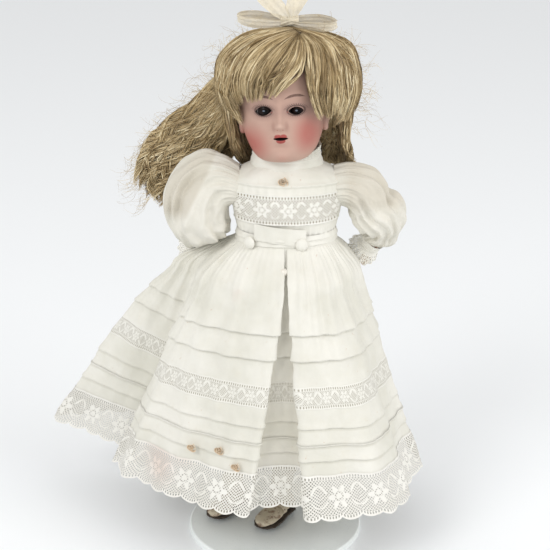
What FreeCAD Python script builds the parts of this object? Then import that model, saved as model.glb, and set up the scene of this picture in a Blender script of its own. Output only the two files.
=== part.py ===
import FreeCAD, Part
import math
import os

V = FreeCAD.Vector
os.makedirs("parts", exist_ok=True)

# All lengths are millimetres and all angles degrees.
# The origin is the centre of the stand's base on the floor.
# +Z is up, the doll faces -Y and her right hand is at -X.

# Stand: round base, socket, tube, collar with a thumb screw
base_radius = 72.5
base_thickness = 5.0
base_edge_radius = 1.6
socket_radius = 7.0
socket_height = 14.0
flange_radius = 9.0
flange_thickness = 2.2
tube_radius = 4.0
tube_wall = 1.0
tube_length = 146.0
tube_seat_depth = 2.0
collar_radius = 6.5
collar_height = 12.0
screw_radius = 1.5
screw_length = 14.0
screw_knob_radius = 5.0
screw_knob_thickness = 3.5
screw_grip_count = 8
screw_grip_radius = 0.9

# Rod and waist clip, which carry the doll
rod_clearance = 0.06
rod_length = 190.0
clip_wire_radius = 1.3
clip_gap = 0.3
clip_open_angle = 110.0
clip_block_radius = 5.5
clip_block_height = 8.0
clip_tongue_width = 8.0
clip_tongue_height = 6.0
post_turn = 45.0
rod_stand_off = 5.4
cut_overrun = 2.0

# Doll: where her axis stands and how high her joints are
doll_x = 9.0
sole_clearance = 3.6
ankle_height = 11.6
leg_length = 178.0
hip_to_clip = 45.0
hip_to_belt = 62.0
hip_to_shoulder = 102.0
shoulder_to_chin = 26.0

# Head and shoulder plate, one hollow bisque casting
head_height = 86.0
head_half_width = 35.5
head_front = 35.5
head_back = 40.0
bisque_wall = 3.0
neck_radius = 15.5
plate_half_width = 41.0
plate_half_depth = 25.0
plate_height = 44.0
plate_arch_radius = 12.5
head_turn = 5.0
head_tilt = 2.0
crown_cut_share = 0.80
crown_cut_slope = 12.0
pate_wall = 1.6
nose_half_width = 4.4
nose_height = 14.0
nose_rise = 3.4
ear_half_height = 9.0
ear_half_width = 5.5
ear_rise = 3.0
mouth_height_share = 0.215
mouth_half_width = 4.6
mouth_half_height = 0.9

# Sleep eyes
eye_spacing = 24.5
eye_height_share = 0.443
eyeball_radius = 7.5
eyeball_inset = 0.8
eye_hole_half_width = 6.2
eye_hole_half_height = 3.7
eye_clearance = 0.3
eye_wire_radius = 0.8
eye_wire_clearance = 0.06
eye_stem_radius = 0.6
eye_wire_past_ball = 0.9
eye_weight_radius = 6.0
eye_weight_thickness = 6.0
eye_weight_drop = 17.0
eye_weight_back = 9.0
pivot_half_height = 6.0
pivot_depth = 9.0

# Stuffed kid torso
torso_half_width = 34.0
torso_half_depth = 27.0
torso_waist_radius = 26.0
torso_below_hip = 12.0
hip_flat = 14.0
hip_notch_above = 18.0
stub_radius = 9.0
stub_end = 43.6
seat_gap = 0.3

# Arms
arm_head_radius = 10.0
arm_head_width = 12.0
arm_radius = 9.5
elbow_radius = 8.0
forearm_radius = 7.6
wrist_radius = 5.0
hand_half_width = 6.4
hand_half_thickness = 3.2
finger_gap = 0.7
finger_length = 10.0
rivet_radius = 1.5
rivet_head_radius = 4.5
rivet_head_thickness = 1.0
rivet_clearance = 0.06
rivet_hold = 8.0

# Legs, which slant to her right in the photograph
hip_spread = 22.0
hip_swing = 12.0
hip_head_radius = 13.0
hip_head_width = 17.0
thigh_radius = 13.0
knee_radius = 9.6
knee_half_width = 10.5
knee_tongue_width = 8.0
knee_joint_gap = 0.4
knee_stem_half_depth = 6.0
knee_drop = 12.0
calf_radius = 10.0
ankle_radius = 6.6
stocking_wall = 0.5
stocking_height = 46.0
right_ankle_x = -38.0
right_ankle_y = 18.0
left_ankle_x = 3.0
left_ankle_y = 1.0

# Shoes
foot_turn = 32.0
shoe_length = 47.0
shoe_half_width = 10.5
shoe_height = 15.0
sole_thickness = 1.6
sole_margin = 0.8
heel_share = 0.38
strap_wall = 1.0
foot_clearance = 0.3

# Gown: bodice, belt, collar, skirt and sleeves
cloth_wall = 1.0
waist_half_width = 36.0
waist_half_depth = 28.0
chest_half_width = 44.0
chest_half_depth = 30.0
bodice_clearance = 0.5
bodice_below_chin = 6.0
armhole_radius = 13.0
armhole_plane = 46.0
belt_height = 11.0
belt_wall = 1.4
strip_half_width = 20.0
strip_height = 13.0
strip_below_belt = 2.0
collar_band_height = 12.0
collar_half_width = 24.0
collar_half_depth = 20.0
chest_lace_height = 25.0
chest_lace_drop = 4.0
chest_lace_wall = 0.8
skirt_length = 200.0
hip_fold_drop = 34.0
hem_lace_height = 14.0
waist_gather = 0.7
hip_gather = 2.0
hem_gather = 4.5
gathers_per_panel = 2
skirt_reach = 100.0
sleeve_wall = 1.0
sleeve_gather = 1.6
sleeve_corners = 12
cuff_height = 6.0
cuff_wall = 1.2
covered_button_radius = 5.0
covered_button_height = 3.0
right_button_beside = 30.0
left_button_beside = 12.0
pearl_radius = 3.6
pearl_height = 3.0
pearl_beside = 2.0
rosette_radius = 3.4
rosette_height = 2.0
yoke_rosette_beside = 3.0
yoke_rosette_above = 9.0
back_button_radius = 2.6
back_button_height = 1.6
back_button_count = 4

# Wig and ribbon
wig_half_width = 57.0
wig_half_depth = 48.0
hair_gap = 0.3
hair_over_collar = 2.0
hair_front_limit = 4.0
wig_beside = 1.0
sleeve_swing_share = 0.46
face_window_half_width = 33.0
face_window_share = 0.60
fringe_thickness = 6.0
fringe_drop = 19.0
bow_half_length = 40.0
bow_half_height = 8.0
bow_half_depth = 10.0
knot_half_width = 8.0
knot_half_height = 5.5
knot_beside = 2.0
knot_behind = 6.0
tail_length = 30.0
tail_width = 15.0
right_tail_lean = 52.0
left_tail_lean = 18.0
ribbon_thickness = 1.2

# Heights and places that follow from the sizes above
base_top = base_thickness
sole_z = base_top + sole_clearance
ankle_z = sole_z + ankle_height
hip_z = ankle_z + leg_length
clip_z = hip_z + hip_to_clip
belt_z = hip_z + hip_to_belt
shoulder_z = hip_z + hip_to_shoulder
chin_z = shoulder_z + shoulder_to_chin
plate_z = chin_z - plate_height
hem_z = belt_z - skirt_length
hip_fold_z = belt_z - hip_fold_drop
clip_ring_radius = torso_waist_radius + clip_gap + clip_wire_radius
post_reach = clip_ring_radius + clip_wire_radius + rod_stand_off
post_x = doll_x + post_reach * math.cos(math.radians(post_turn))
post_y = post_reach * math.sin(math.radians(post_turn))
rod_radius = tube_radius - tube_wall - rod_clearance
tube_z = base_top + tube_seat_depth
tube_top = tube_z + tube_length
rod_top = clip_z + clip_block_height / 2
arm_inner = stub_end + seat_gap
arm_outer = arm_inner + arm_head_width
eye_z = chin_z + eye_height_share * head_height
wig_y = (head_back - head_front) / 2 + fringe_thickness / 2
AXIS_X, AXIS_Y, AXIS_Z = V(1, 0, 0), V(0, 1, 0), V(0, 0, 1)
SIDES = {"right": -1, "left": 1}


def save(node, shape):
    """Write one node, with its solids the right way out."""
    if shape.Volume < 0:
        shape.reverse()
    print(node, len(shape.Solids), round(shape.Volume), shape.isValid())
    shape.exportStep("parts/" + node + ".step")
    return shape


def ring(centre, across, over, half_across, half_over, corners=4, puff=0.0):
    """A closed outline of arcs on an oval. A puff above 0 lifts each arc between its corners, as gathers do."""

    def at(turn, lift):
        angle = 2 * math.pi * turn / corners
        return (
            centre
            + across * ((half_across + lift) * math.cos(angle))
            + over * ((half_over + lift) * math.sin(angle))
        )

    arcs = [
        Part.Arc(at(k, 0), at(k + 0.5, puff), at(k + 1, 0)).toShape()
        for k in range(corners)
    ]
    return Part.Wire(arcs)


def level_ring(z, half_width, half_depth, x=doll_x, y=0.0, corners=4, puff=0.0):
    return ring(V(x, y, z), AXIS_X, AXIS_Y, half_width, half_depth, corners, puff)


def loft(rings, ruled=False):
    shape = Part.makeLoft(rings, True, ruled)
    if shape.Volume < 0:
        shape.reverse()
    return shape


def along_x(x0, x1, y, z, radius):
    low, high = min(x0, x1), max(x0, x1)
    return Part.makeCylinder(radius, high - low, V(low, y, z), AXIS_X)


def block(x0, x1, y0, y1, z0, z1):
    low = V(min(x0, x1), min(y0, y1), min(z0, z1))
    return Part.makeBox(abs(x1 - x0), abs(y1 - y0), abs(z1 - z0), low)


def limb(stations):
    """A round limb through stations of (centre, radius), each ring square to the way the limb runs there."""
    rings = []
    for k, (centre, radius) in enumerate(stations):
        before = stations[max(k - 1, 0)][0]
        after = stations[min(k + 1, len(stations) - 1)][0]
        run = (after - before).normalize()
        across = AXIS_Y.cross(run).normalize()
        over = run.cross(across).normalize()
        rings.append(ring(centre, across, over, radius, radius))
    return loft(rings)


# Stand
def make_stand():
    edge = base_edge_radius
    half = Part.Wire(
        [
            Part.LineSegment(V(0, 0, 0), V(base_radius, 0, 0)).toShape(),
            Part.LineSegment(V(base_radius, 0, 0), V(base_radius, 0, base_top - edge)).toShape(),
            Part.Arc(
                V(base_radius, 0, base_top - edge),
                V(base_radius - edge + edge * math.sqrt(0.5), 0, base_top - edge + edge * math.sqrt(0.5)),
                V(base_radius - edge, 0, base_top),
            ).toShape(),
            Part.LineSegment(V(base_radius - edge, 0, base_top), V(0, 0, base_top)).toShape(),
            Part.LineSegment(V(0, 0, base_top), V(0, 0, 0)).toShape(),
        ]
    )
    save("stand_base", Part.Face(half).revolve(V(0, 0, 0), AXIS_Z, 360))

    foot = V(post_x, post_y, base_top)
    socket = Part.makeCylinder(flange_radius, flange_thickness, foot)
    socket = socket.fuse(Part.makeCone(socket_radius, tube_radius + tube_wall, socket_height, foot))
    tube_seat = V(post_x, post_y, tube_z)
    socket = socket.cut(Part.makeCylinder(tube_radius, socket_height, tube_seat))
    save("stand_socket", socket.removeSplitter())

    screw_z = tube_top - collar_height / 2
    screw_hole = Part.makeCylinder(screw_radius, screw_length, V(post_x, post_y + rod_radius, screw_z), AXIS_Y)
    tube = Part.makeCylinder(tube_radius, tube_length, tube_seat)
    tube = tube.cut(Part.makeCylinder(tube_radius - tube_wall, tube_length, tube_seat))
    save("stand_tube", tube.cut(screw_hole))

    collar_seat = V(post_x, post_y, tube_top - collar_height)
    collar = Part.makeCylinder(collar_radius, collar_height, collar_seat)
    collar = collar.cut(Part.makeCylinder(tube_radius, collar_height, collar_seat))
    save("stand_collar", collar.cut(screw_hole))

    tip = V(post_x, post_y + rod_radius + seat_gap, screw_z)
    knob_y = tip.y + screw_length
    screw = Part.makeCylinder(screw_radius, screw_length, tip, AXIS_Y)
    knob = Part.makeCylinder(screw_knob_radius, screw_knob_thickness, V(post_x, knob_y, screw_z), AXIS_Y)
    for k in range(screw_grip_count):
        angle = 2 * math.pi * k / screw_grip_count
        grip = V(
            post_x + screw_knob_radius * math.cos(angle),
            knob_y - cut_overrun,
            screw_z + screw_knob_radius * math.sin(angle),
        )
        depth = screw_knob_thickness + 2 * cut_overrun
        knob = knob.cut(Part.makeCylinder(screw_grip_radius, depth, grip, AXIS_Y))
    save("stand_thumb_screw", screw.fuse(knob))


# Rod and waist clip
def make_clip():
    rod_foot = V(post_x, post_y, rod_top - rod_length)
    rod = Part.makeCylinder(rod_radius, rod_length, rod_foot)
    save("stand_rod", rod)

    ring_wire = Part.makeTorus(
        clip_ring_radius, clip_wire_radius, V(0, 0, 0), AXIS_Z, -180, 180, 360 - clip_open_angle
    )
    ring_wire.rotate(V(0, 0, 0), AXIS_Z, post_turn - (360 - clip_open_angle) / 2)
    ring_wire.translate(V(doll_x, 0, clip_z))

    block_z = clip_z - clip_block_height / 2
    body = Part.makeCylinder(clip_block_radius, clip_block_height, V(post_x, post_y, block_z))
    tongue_start = torso_waist_radius + clip_gap
    tongue = Part.makeBox(
        post_reach - tongue_start,
        clip_tongue_width,
        clip_tongue_height,
        V(tongue_start, -clip_tongue_width / 2, clip_z - clip_tongue_height / 2),
    )
    tongue.rotate(V(0, 0, 0), AXIS_Z, post_turn)
    tongue.translate(V(doll_x, 0, 0))
    waist = Part.makeCylinder(tongue_start, clip_block_height, V(doll_x, 0, block_z))
    body = body.fuse(tongue).cut(waist).cut(rod).cut(ring_wire)
    save("clip_block", body.removeSplitter())
    save("waist_clip", ring_wire)


# Head: stations of (height, half width, front, back) from the neck to the crown, as shares of the head's sizes
head_shares = [
    (0.015, 0.45, 0.55, 0.36),
    (0.040, 0.60, 0.86, 0.48),
    (0.105, 0.76, 0.97, 0.66),
    (0.190, 0.88, 0.99, 0.82),
    (0.310, 0.97, 0.99, 0.94),
    (0.465, 1.00, 0.97, 0.99),
    (0.630, 0.985, 1.00, 1.00),
    (0.770, 0.90, 0.93, 0.95),
    (0.885, 0.71, 0.73, 0.80),
    (0.965, 0.43, 0.42, 0.54),
    (1.000, 0.12, 0.10, 0.20),
]
# Shoulder plate: stations of (height, half width, half depth) from its lower edge to the neck, as shares
plate_shares = [
    (0.00, 0.97, 0.97),
    (0.30, 1.00, 1.00),
    (0.54, 0.94, 0.90),
    (0.69, 0.70, 0.74),
]
neck_height_shares = [0.80, 0.985]
# Nose: stations of (height, half width, rise, front) as shares, from the bridge to the underside
nose_shares = [(1.0, 0.45, 0.6, 0.95), (0.3, 0.9, 1.0, 1.0), (0.0, 1.0, 1.0, 0.985), (-0.2, 0.5, 0.5, 0.97)]


def head_stations():
    """Every ring of the casting as (z, half width, front, back)."""
    found = []
    for height, width, depth in plate_shares:
        half_depth = plate_half_depth * depth
        found.append((plate_z + plate_height * height, plate_half_width * width, half_depth, half_depth))
    for height in neck_height_shares:
        found.append((plate_z + plate_height * height, neck_radius, neck_radius, neck_radius))
    for height, width, front, back in head_shares:
        z = chin_z + head_height * height
        found.append((z, head_half_width * width, head_front * front, head_back * back))
    return found


def head_solid(inset, first=0, ruled=True):
    """The casting's form, drawn in by a wall's thickness."""
    rings = []
    for z, half_width, front, back in head_stations()[first:]:
        half_depth = (front + back) / 2 - inset
        half_width = half_width - inset
        if half_width <= 0 or half_depth <= 0:
            continue
        rings.append(level_ring(z, half_width, half_depth, doll_x, (back - front) / 2))
    return loft(rings, ruled)


def pose_head(shape):
    """Turn and tilt what belongs to the head, as the photograph shows it."""
    pivot = V(doll_x, 0, chin_z)
    shape.rotate(pivot, AXIS_Z, -head_turn)
    shape.rotate(pivot, AXIS_Y, -head_tilt)
    return shape


def above_crown_cut(lift=0.0):
    """The space above the slanted crown opening."""
    reach = 2 * head_back + 2 * head_front
    cut_z = chin_z + crown_cut_share * head_height + lift
    space = block(doll_x - reach, doll_x + reach, -reach, reach, cut_z, cut_z + head_height)
    space.rotate(V(doll_x, -head_front, cut_z), AXIS_X, -crown_cut_slope)
    return space


def eye_centre(side):
    """Centre of an eyeball before the head is turned."""
    beside = eye_spacing / 2
    middle_y = (head_back * 0.99 - head_front * 0.97) / 2
    half_depth = (head_back * 0.99 + head_front * 0.97) / 2
    face_y = middle_y - half_depth * math.sqrt(1 - (beside / head_half_width) ** 2)
    return V(doll_x + side * beside, face_y + eyeball_inset + eyeball_radius, eye_z)


def make_head():
    outer = head_solid(0)
    inner = head_solid(bisque_wall)
    open_below = block(
        doll_x - plate_half_width, doll_x + plate_half_width,
        -plate_half_depth, plate_half_depth,
        plate_z - cut_overrun, plate_z,
    )
    shell = outer.cut(inner).cut(open_below)

    nose_z = chin_z + 0.25 * head_height
    nose = loft(
        [
            level_ring(nose_z + nose_height * h, nose_half_width * w, nose_rise * d, doll_x, -head_front * y)
            for h, w, d, y in nose_shares
        ],
        True,
    )
    shell = shell.fuse(nose.cut(inner))
    for side in SIDES.values():
        ear_x = doll_x + side * head_half_width * 0.97
        ear_z = chin_z + 0.36 * head_height
        ear = loft(
            [
                ring(V(ear_x, 0, ear_z), AXIS_Y, AXIS_Z, ear_half_width, ear_half_height),
                ring(
                    V(ear_x + side * ear_rise, ear_rise, ear_z), AXIS_Y, AXIS_Z,
                    ear_half_width * 0.7, ear_half_height * 0.85,
                ),
            ],
            True,
        )
        shell = shell.fuse(ear.cut(inner))
        centre = eye_centre(side)
        hole = loft(
            [
                ring(V(centre.x, y, centre.z), AXIS_X, AXIS_Z, eye_hole_half_width, eye_hole_half_height)
                for y in (-head_front - cut_overrun, centre.y)
            ],
            True,
        )
        shell = shell.cut(hole)
        shell = shell.cut(Part.makeSphere(eyeball_radius + eye_clearance, centre))
        arch_x = doll_x + side * plate_half_width * 0.5
        arch_end = doll_x + side * plate_half_width * 1.1
        shell = shell.cut(along_x(arch_x, arch_end, 0, shoulder_z, plate_arch_radius))
        shell = shell.cut(
            block(
                arch_x, arch_end,
                -plate_arch_radius, plate_arch_radius,
                plate_z - cut_overrun, shoulder_z,
            )
        )
    mouth_z = chin_z + mouth_height_share * head_height
    mouth = block(
        doll_x - mouth_half_width, doll_x + mouth_half_width,
        -head_front - nose_rise, -head_front + 3 * bisque_wall,
        mouth_z - mouth_half_height, mouth_z + mouth_half_height,
    )
    shell = shell.cut(mouth)
    axle_reach = eye_spacing / 2 + eyeball_radius + eye_wire_past_ball + seat_gap
    axle_y = eye_centre(1).y
    shell = shell.cut(
        along_x(doll_x - axle_reach, doll_x + axle_reach, axle_y, eye_z, eye_wire_radius + eye_wire_clearance)
    )
    head = save("shoulder_head", pose_head(shell.cut(above_crown_cut())))

    pate = outer.common(above_crown_cut()).cut(head_solid(pate_wall))
    save("pate", pose_head(pate))
    return head


def eyeball(centre):
    """A ball turned about the wire, with the wire's hole through it."""
    half_hole = math.sqrt(eyeball_radius**2 - eye_wire_radius**2)
    start = centre + V(-half_hole, 0, eye_wire_radius)
    end = centre + V(half_hole, 0, eye_wire_radius)
    arc = Part.Arc(start, centre + V(0, 0, eyeball_radius), end).toShape()
    profile = Part.Wire([arc, Part.LineSegment(end, start).toShape()])
    return Part.Face(profile).revolve(centre, AXIS_X, 360)


def make_eyes():
    right, left = eye_centre(-1), eye_centre(1)
    reach = eye_spacing / 2 + eyeball_radius + eye_wire_past_ball
    axle = along_x(doll_x - reach, doll_x + reach, right.y, eye_z, eye_wire_radius)
    for name, centre in (("right_eyeball", right), ("left_eyeball", left)):
        save(name, pose_head(eyeball(centre)))
    weight_centre = V(doll_x, right.y + eye_weight_back, eye_z - eye_weight_drop)
    top = V(doll_x, right.y, eye_z)
    run = weight_centre - top
    stem = Part.makeCylinder(eye_stem_radius, run.Length, top, run)
    weight = along_x(
        doll_x - eye_weight_thickness / 2, doll_x + eye_weight_thickness / 2,
        weight_centre.y, weight_centre.z, eye_weight_radius,
    )
    save("eye_bridge", pose_head(axle.fuse(stem).cut(weight)))
    save("eye_weight", pose_head(weight))

    cavity = head_solid(bisque_wall)
    for name, centre, side in (("right_eye_pivot", right, -1), ("left_eye_pivot", left, 1)):
        bed = block(
            centre.x + side * eyeball_radius * 0.5, doll_x + side * head_half_width,
            centre.y - eyeball_radius, centre.y + pivot_depth,
            eye_z - pivot_half_height, eye_z + pivot_half_height,
        )
        bed = bed.common(cavity)
        bed = bed.cut(Part.makeSphere(eyeball_radius + eye_clearance, centre))
        hole_radius = eye_wire_radius + eye_wire_clearance
        bed = bed.cut(along_x(centre.x, doll_x + side * head_half_width, centre.y, eye_z, hole_radius))
        save(name, pose_head(bed))


# Torso: stations of (height, half width, half depth) as shares, from the seat to the waist
seat_shares = [
    (0.00, 0.50, 0.55), (0.12, 0.78, 0.80), (0.36, 0.97, 0.97),
    (0.58, 1.00, 1.00), (0.80, 0.85, 0.97), (0.92, 0.770, 0.964),
]
# and from the waist to the neck
breast_shares = [
    (0.28, 0.84, 0.80), (0.52, 1.06, 0.80), (0.66, 1.08, 0.77), (0.88, 1.00, 0.70), (1.00, 0.70, 0.52),
]


def rivet(x_inner, x_outer, y, z):
    """A steel pin along X with a head at its outer end."""
    side = 1 if x_outer > x_inner else -1
    pin = along_x(x_inner, x_outer, y, z, rivet_radius)
    return pin.fuse(along_x(x_outer, x_outer + side * rivet_head_thickness, y, z, rivet_head_radius))


def make_torso(head):
    seat_z = hip_z - torso_below_hip
    top_z = shoulder_z + rivet_head_radius / 2
    rings = [
        level_ring(seat_z + (clip_z - seat_z) * h, torso_half_width * w, torso_half_depth * d)
        for h, w, d in seat_shares
    ]
    rings.append(level_ring(clip_z, torso_waist_radius, torso_waist_radius))
    rings += [
        level_ring(clip_z + (top_z - clip_z) * h, torso_half_width * w, torso_half_depth * d)
        for h, w, d in breast_shares
    ]
    torso = loft(rings, True)
    notch_top = hip_z + hip_notch_above
    for side in SIDES.values():
        torso = torso.cut(
            block(
                doll_x + side * hip_flat, doll_x + side * 2 * torso_half_width,
                -2 * torso_half_depth, 2 * torso_half_depth,
                seat_z - cut_overrun, notch_top,
            )
        )
        stub_start = doll_x + side * torso_half_width * 0.6
        torso = torso.fuse(along_x(stub_start, doll_x + side * stub_end, 0, shoulder_z, stub_radius))
    rivets = {}
    for name, side in SIDES.items():
        rivets[name + "_shoulder_rivet"] = rivet(
            doll_x + side * (stub_end - rivet_hold), doll_x + side * (arm_outer + seat_gap),
            0, shoulder_z,
        )
        hip_inner = doll_x + side * (hip_flat - rivet_hold)
        hip_outer = doll_x + side * (hip_flat + hip_head_width + 2 * seat_gap)
        rivets[name + "_hip_rivet"] = rivet(hip_inner, hip_outer, 0, hip_z)
    for node, shape in rivets.items():
        torso = torso.cut(shape)
        save(node, shape)
    save("torso", largest(torso.cut(head)))


# Arms: stations from the armpit to the finger tips, (beside, behind, below the shoulder) as shares of the reach
arm_reach = 80.0
upper_arm_shares = [(0.64, 0.00, 0.04), (0.80, 0.01, 0.20), (0.93, 0.05, 0.44)]
forearm_shares = [(0.93, 0.05, 0.44), (0.91, 0.13, 0.56), (0.87, 0.24, 0.69)]
hand_shares = [(0.87, 0.24, 0.69), (0.83, 0.37, 0.83), (0.79, 0.48, 0.96)]


def arm_point(side, shares):
    beside, behind, below = shares
    return V(doll_x + side * arm_reach * beside, arm_reach * behind, shoulder_z - arm_reach * below)


def make_arm(name, side):
    inner_x, outer_x = doll_x + side * arm_inner, doll_x + side * arm_outer
    shoulder = along_x(inner_x, outer_x, 0, shoulder_z, arm_head_radius)
    radii = [arm_radius * 0.9, arm_radius, elbow_radius]
    upper = limb([(arm_point(side, s), r) for s, r in zip(upper_arm_shares, radii)])
    hole = along_x(inner_x, outer_x, 0, shoulder_z, rivet_radius + rivet_clearance)
    sink = along_x(
        outer_x, doll_x + side * (arm_outer + 2 * arm_head_width),
        0, shoulder_z, rivet_head_radius + seat_gap,
    )
    inside = block(
        doll_x, inner_x,
        -2 * arm_radius, 2 * arm_radius,
        shoulder_z - arm_reach, shoulder_z + 2 * arm_radius,
    )
    elbow = arm_point(side, forearm_shares[0])
    lower_run = arm_point(side, forearm_shares[1]) - elbow
    below_elbow = Part.makeCylinder(3 * elbow_radius, arm_reach, elbow, lower_run)
    upper = upper.fuse(shoulder).cut(hole).cut(sink).cut(inside).cut(below_elbow)
    save(name + "_upper_arm", upper.removeSplitter())

    radii = [forearm_radius, forearm_radius * 0.86, wrist_radius]
    forearm = limb([(arm_point(side, s), r) for s, r in zip(forearm_shares, radii)])
    forearm = forearm.common(below_elbow)
    wrist, knuckles, tips = [arm_point(side, s) for s in hand_shares]
    run = (tips - wrist).normalize()
    flat = AXIS_X.cross(run).normalize()
    thick = run.cross(flat).normalize()
    palm = loft(
        [
            ring(wrist - run * wrist_radius, flat, thick, wrist_radius, wrist_radius * 0.9),
            ring(knuckles, flat, thick, hand_half_width, hand_half_thickness),
            ring(tips, flat, thick, hand_half_width * 0.6, hand_half_thickness * 0.5),
        ]
    )
    for k in (-1, 0, 1):
        slit = Part.makeBox(
            finger_gap, 4 * hand_half_thickness, 2 * finger_length,
            V(-finger_gap / 2 + k * hand_half_width * 0.42, -2 * hand_half_thickness, 0),
        )
        turn = FreeCAD.Rotation(flat, thick, run, "ZXY")
        slit.Placement = FreeCAD.Placement(tips - run * finger_length, turn)
        palm = palm.cut(slit)
    thumb = limb(
        [
            (wrist + run * wrist_radius - flat * wrist_radius * 0.5, hand_half_thickness * 0.75),
            (knuckles - flat * hand_half_width * 1.05, hand_half_thickness * 0.7),
            (knuckles - flat * hand_half_width * 1.15 + run * finger_length * 0.4, hand_half_thickness * 0.4),
        ]
    )
    forearm = forearm.fuse([palm, thumb])
    save(name + "_forearm", forearm.removeSplitter())


# Legs
def leg_places(side):
    """Hip, knee and ankle centres of one leg."""
    hip = V(doll_x + side * hip_spread, 0, hip_z)
    if side < 0:
        ankle = V(right_ankle_x, right_ankle_y, ankle_z)
    else:
        ankle = V(left_ankle_x, left_ankle_y, ankle_z)
    return hip, (hip + ankle) * 0.5, ankle


def make_leg(name, side):
    hip, knee, ankle = leg_places(side)
    inner = doll_x + side * (hip_flat + seat_gap)
    outer = inner + side * hip_head_width
    head = along_x(inner, outer, 0, hip_z, hip_head_radius)
    body = loft(
        [
            level_ring(hip.z, thigh_radius * 0.62, thigh_radius * 0.9, hip.x + side * thigh_radius * 0.1),
            level_ring(hip.z - 0.22 * leg_length, thigh_radius * 0.95, thigh_radius, *mix(hip, knee, 0.44)),
            level_ring(knee.z, knee_radius, knee_radius * 0.96, knee.x, knee.y),
        ],
        True,
    )
    drum = along_x(knee.x - knee_half_width, knee.x + knee_half_width, knee.y, knee.z, knee_radius)
    slot_half = knee_tongue_width / 2 + knee_joint_gap
    slot_radius = knee_radius + knee_joint_gap
    slot = along_x(knee.x - slot_half, knee.x + slot_half, knee.y, knee.z, slot_radius)
    pin = along_x(knee.x - knee_half_width, knee.x + knee_half_width, knee.y, knee.z, rivet_radius)
    hip_hole = along_x(inner - side * cut_overrun, outer, 0, hip_z, rivet_radius + rivet_clearance)
    swing_room = thigh_radius * math.tan(math.radians(hip_swing)) + 2 * seat_gap
    inside = block(
        doll_x - side * hip_spread, inner,
        -2 * thigh_radius, 2 * thigh_radius,
        hip_z - torso_below_hip - swing_room, hip_z + 2 * thigh_radius,
    )
    thigh = body.fuse([head, drum]).cut(slot).cut(pin).cut(hip_hole).cut(inside)
    rivet_sink = along_x(outer, outer + side * hip_head_width, 0, hip_z, rivet_head_radius + seat_gap)
    save(name + "_thigh", thigh.cut(rivet_sink).removeSplitter())

    knee_rivet = pin
    for end in (-1, 1):
        edge = knee.x + end * knee_half_width
        cap = along_x(edge, edge + end * rivet_head_thickness, knee.y, knee.z, rivet_head_radius)
        knee_rivet = knee_rivet.fuse(cap)
    save(name + "_knee_rivet", knee_rivet)

    below_knee = mix(knee, ankle, knee_drop / (knee.z - ankle.z))
    in_shoe_z = sole_z + sole_thickness + foot_clearance
    shin = loft(
        [
            level_ring(knee.z - knee_drop, knee_radius, knee_radius * 0.96, *below_knee),
            level_ring(knee.z - 0.20 * leg_length, calf_radius * 0.9, calf_radius, *mix(knee, ankle, 0.40)),
            level_ring(ankle.z, ankle_radius, ankle_radius, ankle.x, ankle.y),
            level_ring(in_shoe_z, ankle_radius * 0.95, ankle_radius * 1.1, ankle.x, ankle.y),
        ],
        True,
    )
    tongue_half = knee_tongue_width / 2
    tongue = along_x(knee.x - tongue_half, knee.x + tongue_half, knee.y, knee.z, knee_radius - knee_joint_gap)
    stem = block(
        knee.x - tongue_half, knee.x + tongue_half,
        knee.y - knee_stem_half_depth, knee.y + knee_stem_half_depth,
        knee.z - 2 * knee_drop, knee.z,
    )
    bore = along_x(knee.x - tongue_half, knee.x + tongue_half, knee.y, knee.z, rivet_radius + rivet_clearance)
    shin = shin.fuse([tongue, stem])
    last = shoe_form(ankle, 0, sole_thickness + foot_clearance, strap_wall)
    shin = shin.fuse(last).cut(bore)
    save(name + "_shin", shin.removeSplitter())

    sock_rings = []
    low_z = sole_z + shoe_height + seat_gap
    for z, share in ((low_z, 0), (low_z + stocking_height, 1)):
        along = (knee.z - z) / (knee.z - ankle.z)
        x, y = mix(knee, ankle, along)
        radius = ankle_radius + (calf_radius - ankle_radius) * share + bodice_clearance + stocking_wall
        sock_rings.append(level_ring(z, radius, radius, x, y))
    sock = loft(sock_rings, True)
    save(name + "_stocking", sock.cut(shin).removeSplitter())
    make_shoe(name, ankle, shin)


def mix(a, b, share):
    """X and Y of the point at a share of the way from a to b."""
    return a.x + (b.x - a.x) * share, a.y + (b.y - a.y) * share


# Shoe: half widths along the foot, then heights at the same places, as shares from the heel to the toe
shoe_width_shares = [
    (0.00, 0.42), (0.10, 0.80), (0.35, 0.78), (0.62, 0.98), (0.85, 0.92), (0.97, 0.55), (1.00, 0.20),
]
shoe_top_shares = [0.92, 1.00, 0.95, 0.62, 0.52, 0.40, 0.30]


def shoe_form(ankle, margin, lift, inset=0.0):
    """A closed shoe form that points out from the ankle, lifted off the sole and drawn in by an inset."""
    length = shoe_length - 2 * inset
    rings = []
    for (along, width), top in zip(shoe_width_shares, shoe_top_shares):
        half = shoe_half_width * width - inset + margin
        height = shoe_height * top - lift - inset
        start = -heel_share * shoe_length + inset
        centre = V(0, -(start + along * length), lift + height / 2)
        half = max(half, strap_wall / 2)
        rings.append(ring(centre, AXIS_X, AXIS_Z, half, height / 2))
    form = loft(rings, True)
    flat_cut = block(-shoe_length, shoe_length, -shoe_length, shoe_length, -shoe_height, lift)
    form = form.cut(flat_cut)
    form.rotate(V(0, 0, 0), AXIS_Z, -foot_turn)
    form.translate(V(ankle.x, ankle.y, sole_z))
    return form


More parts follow.
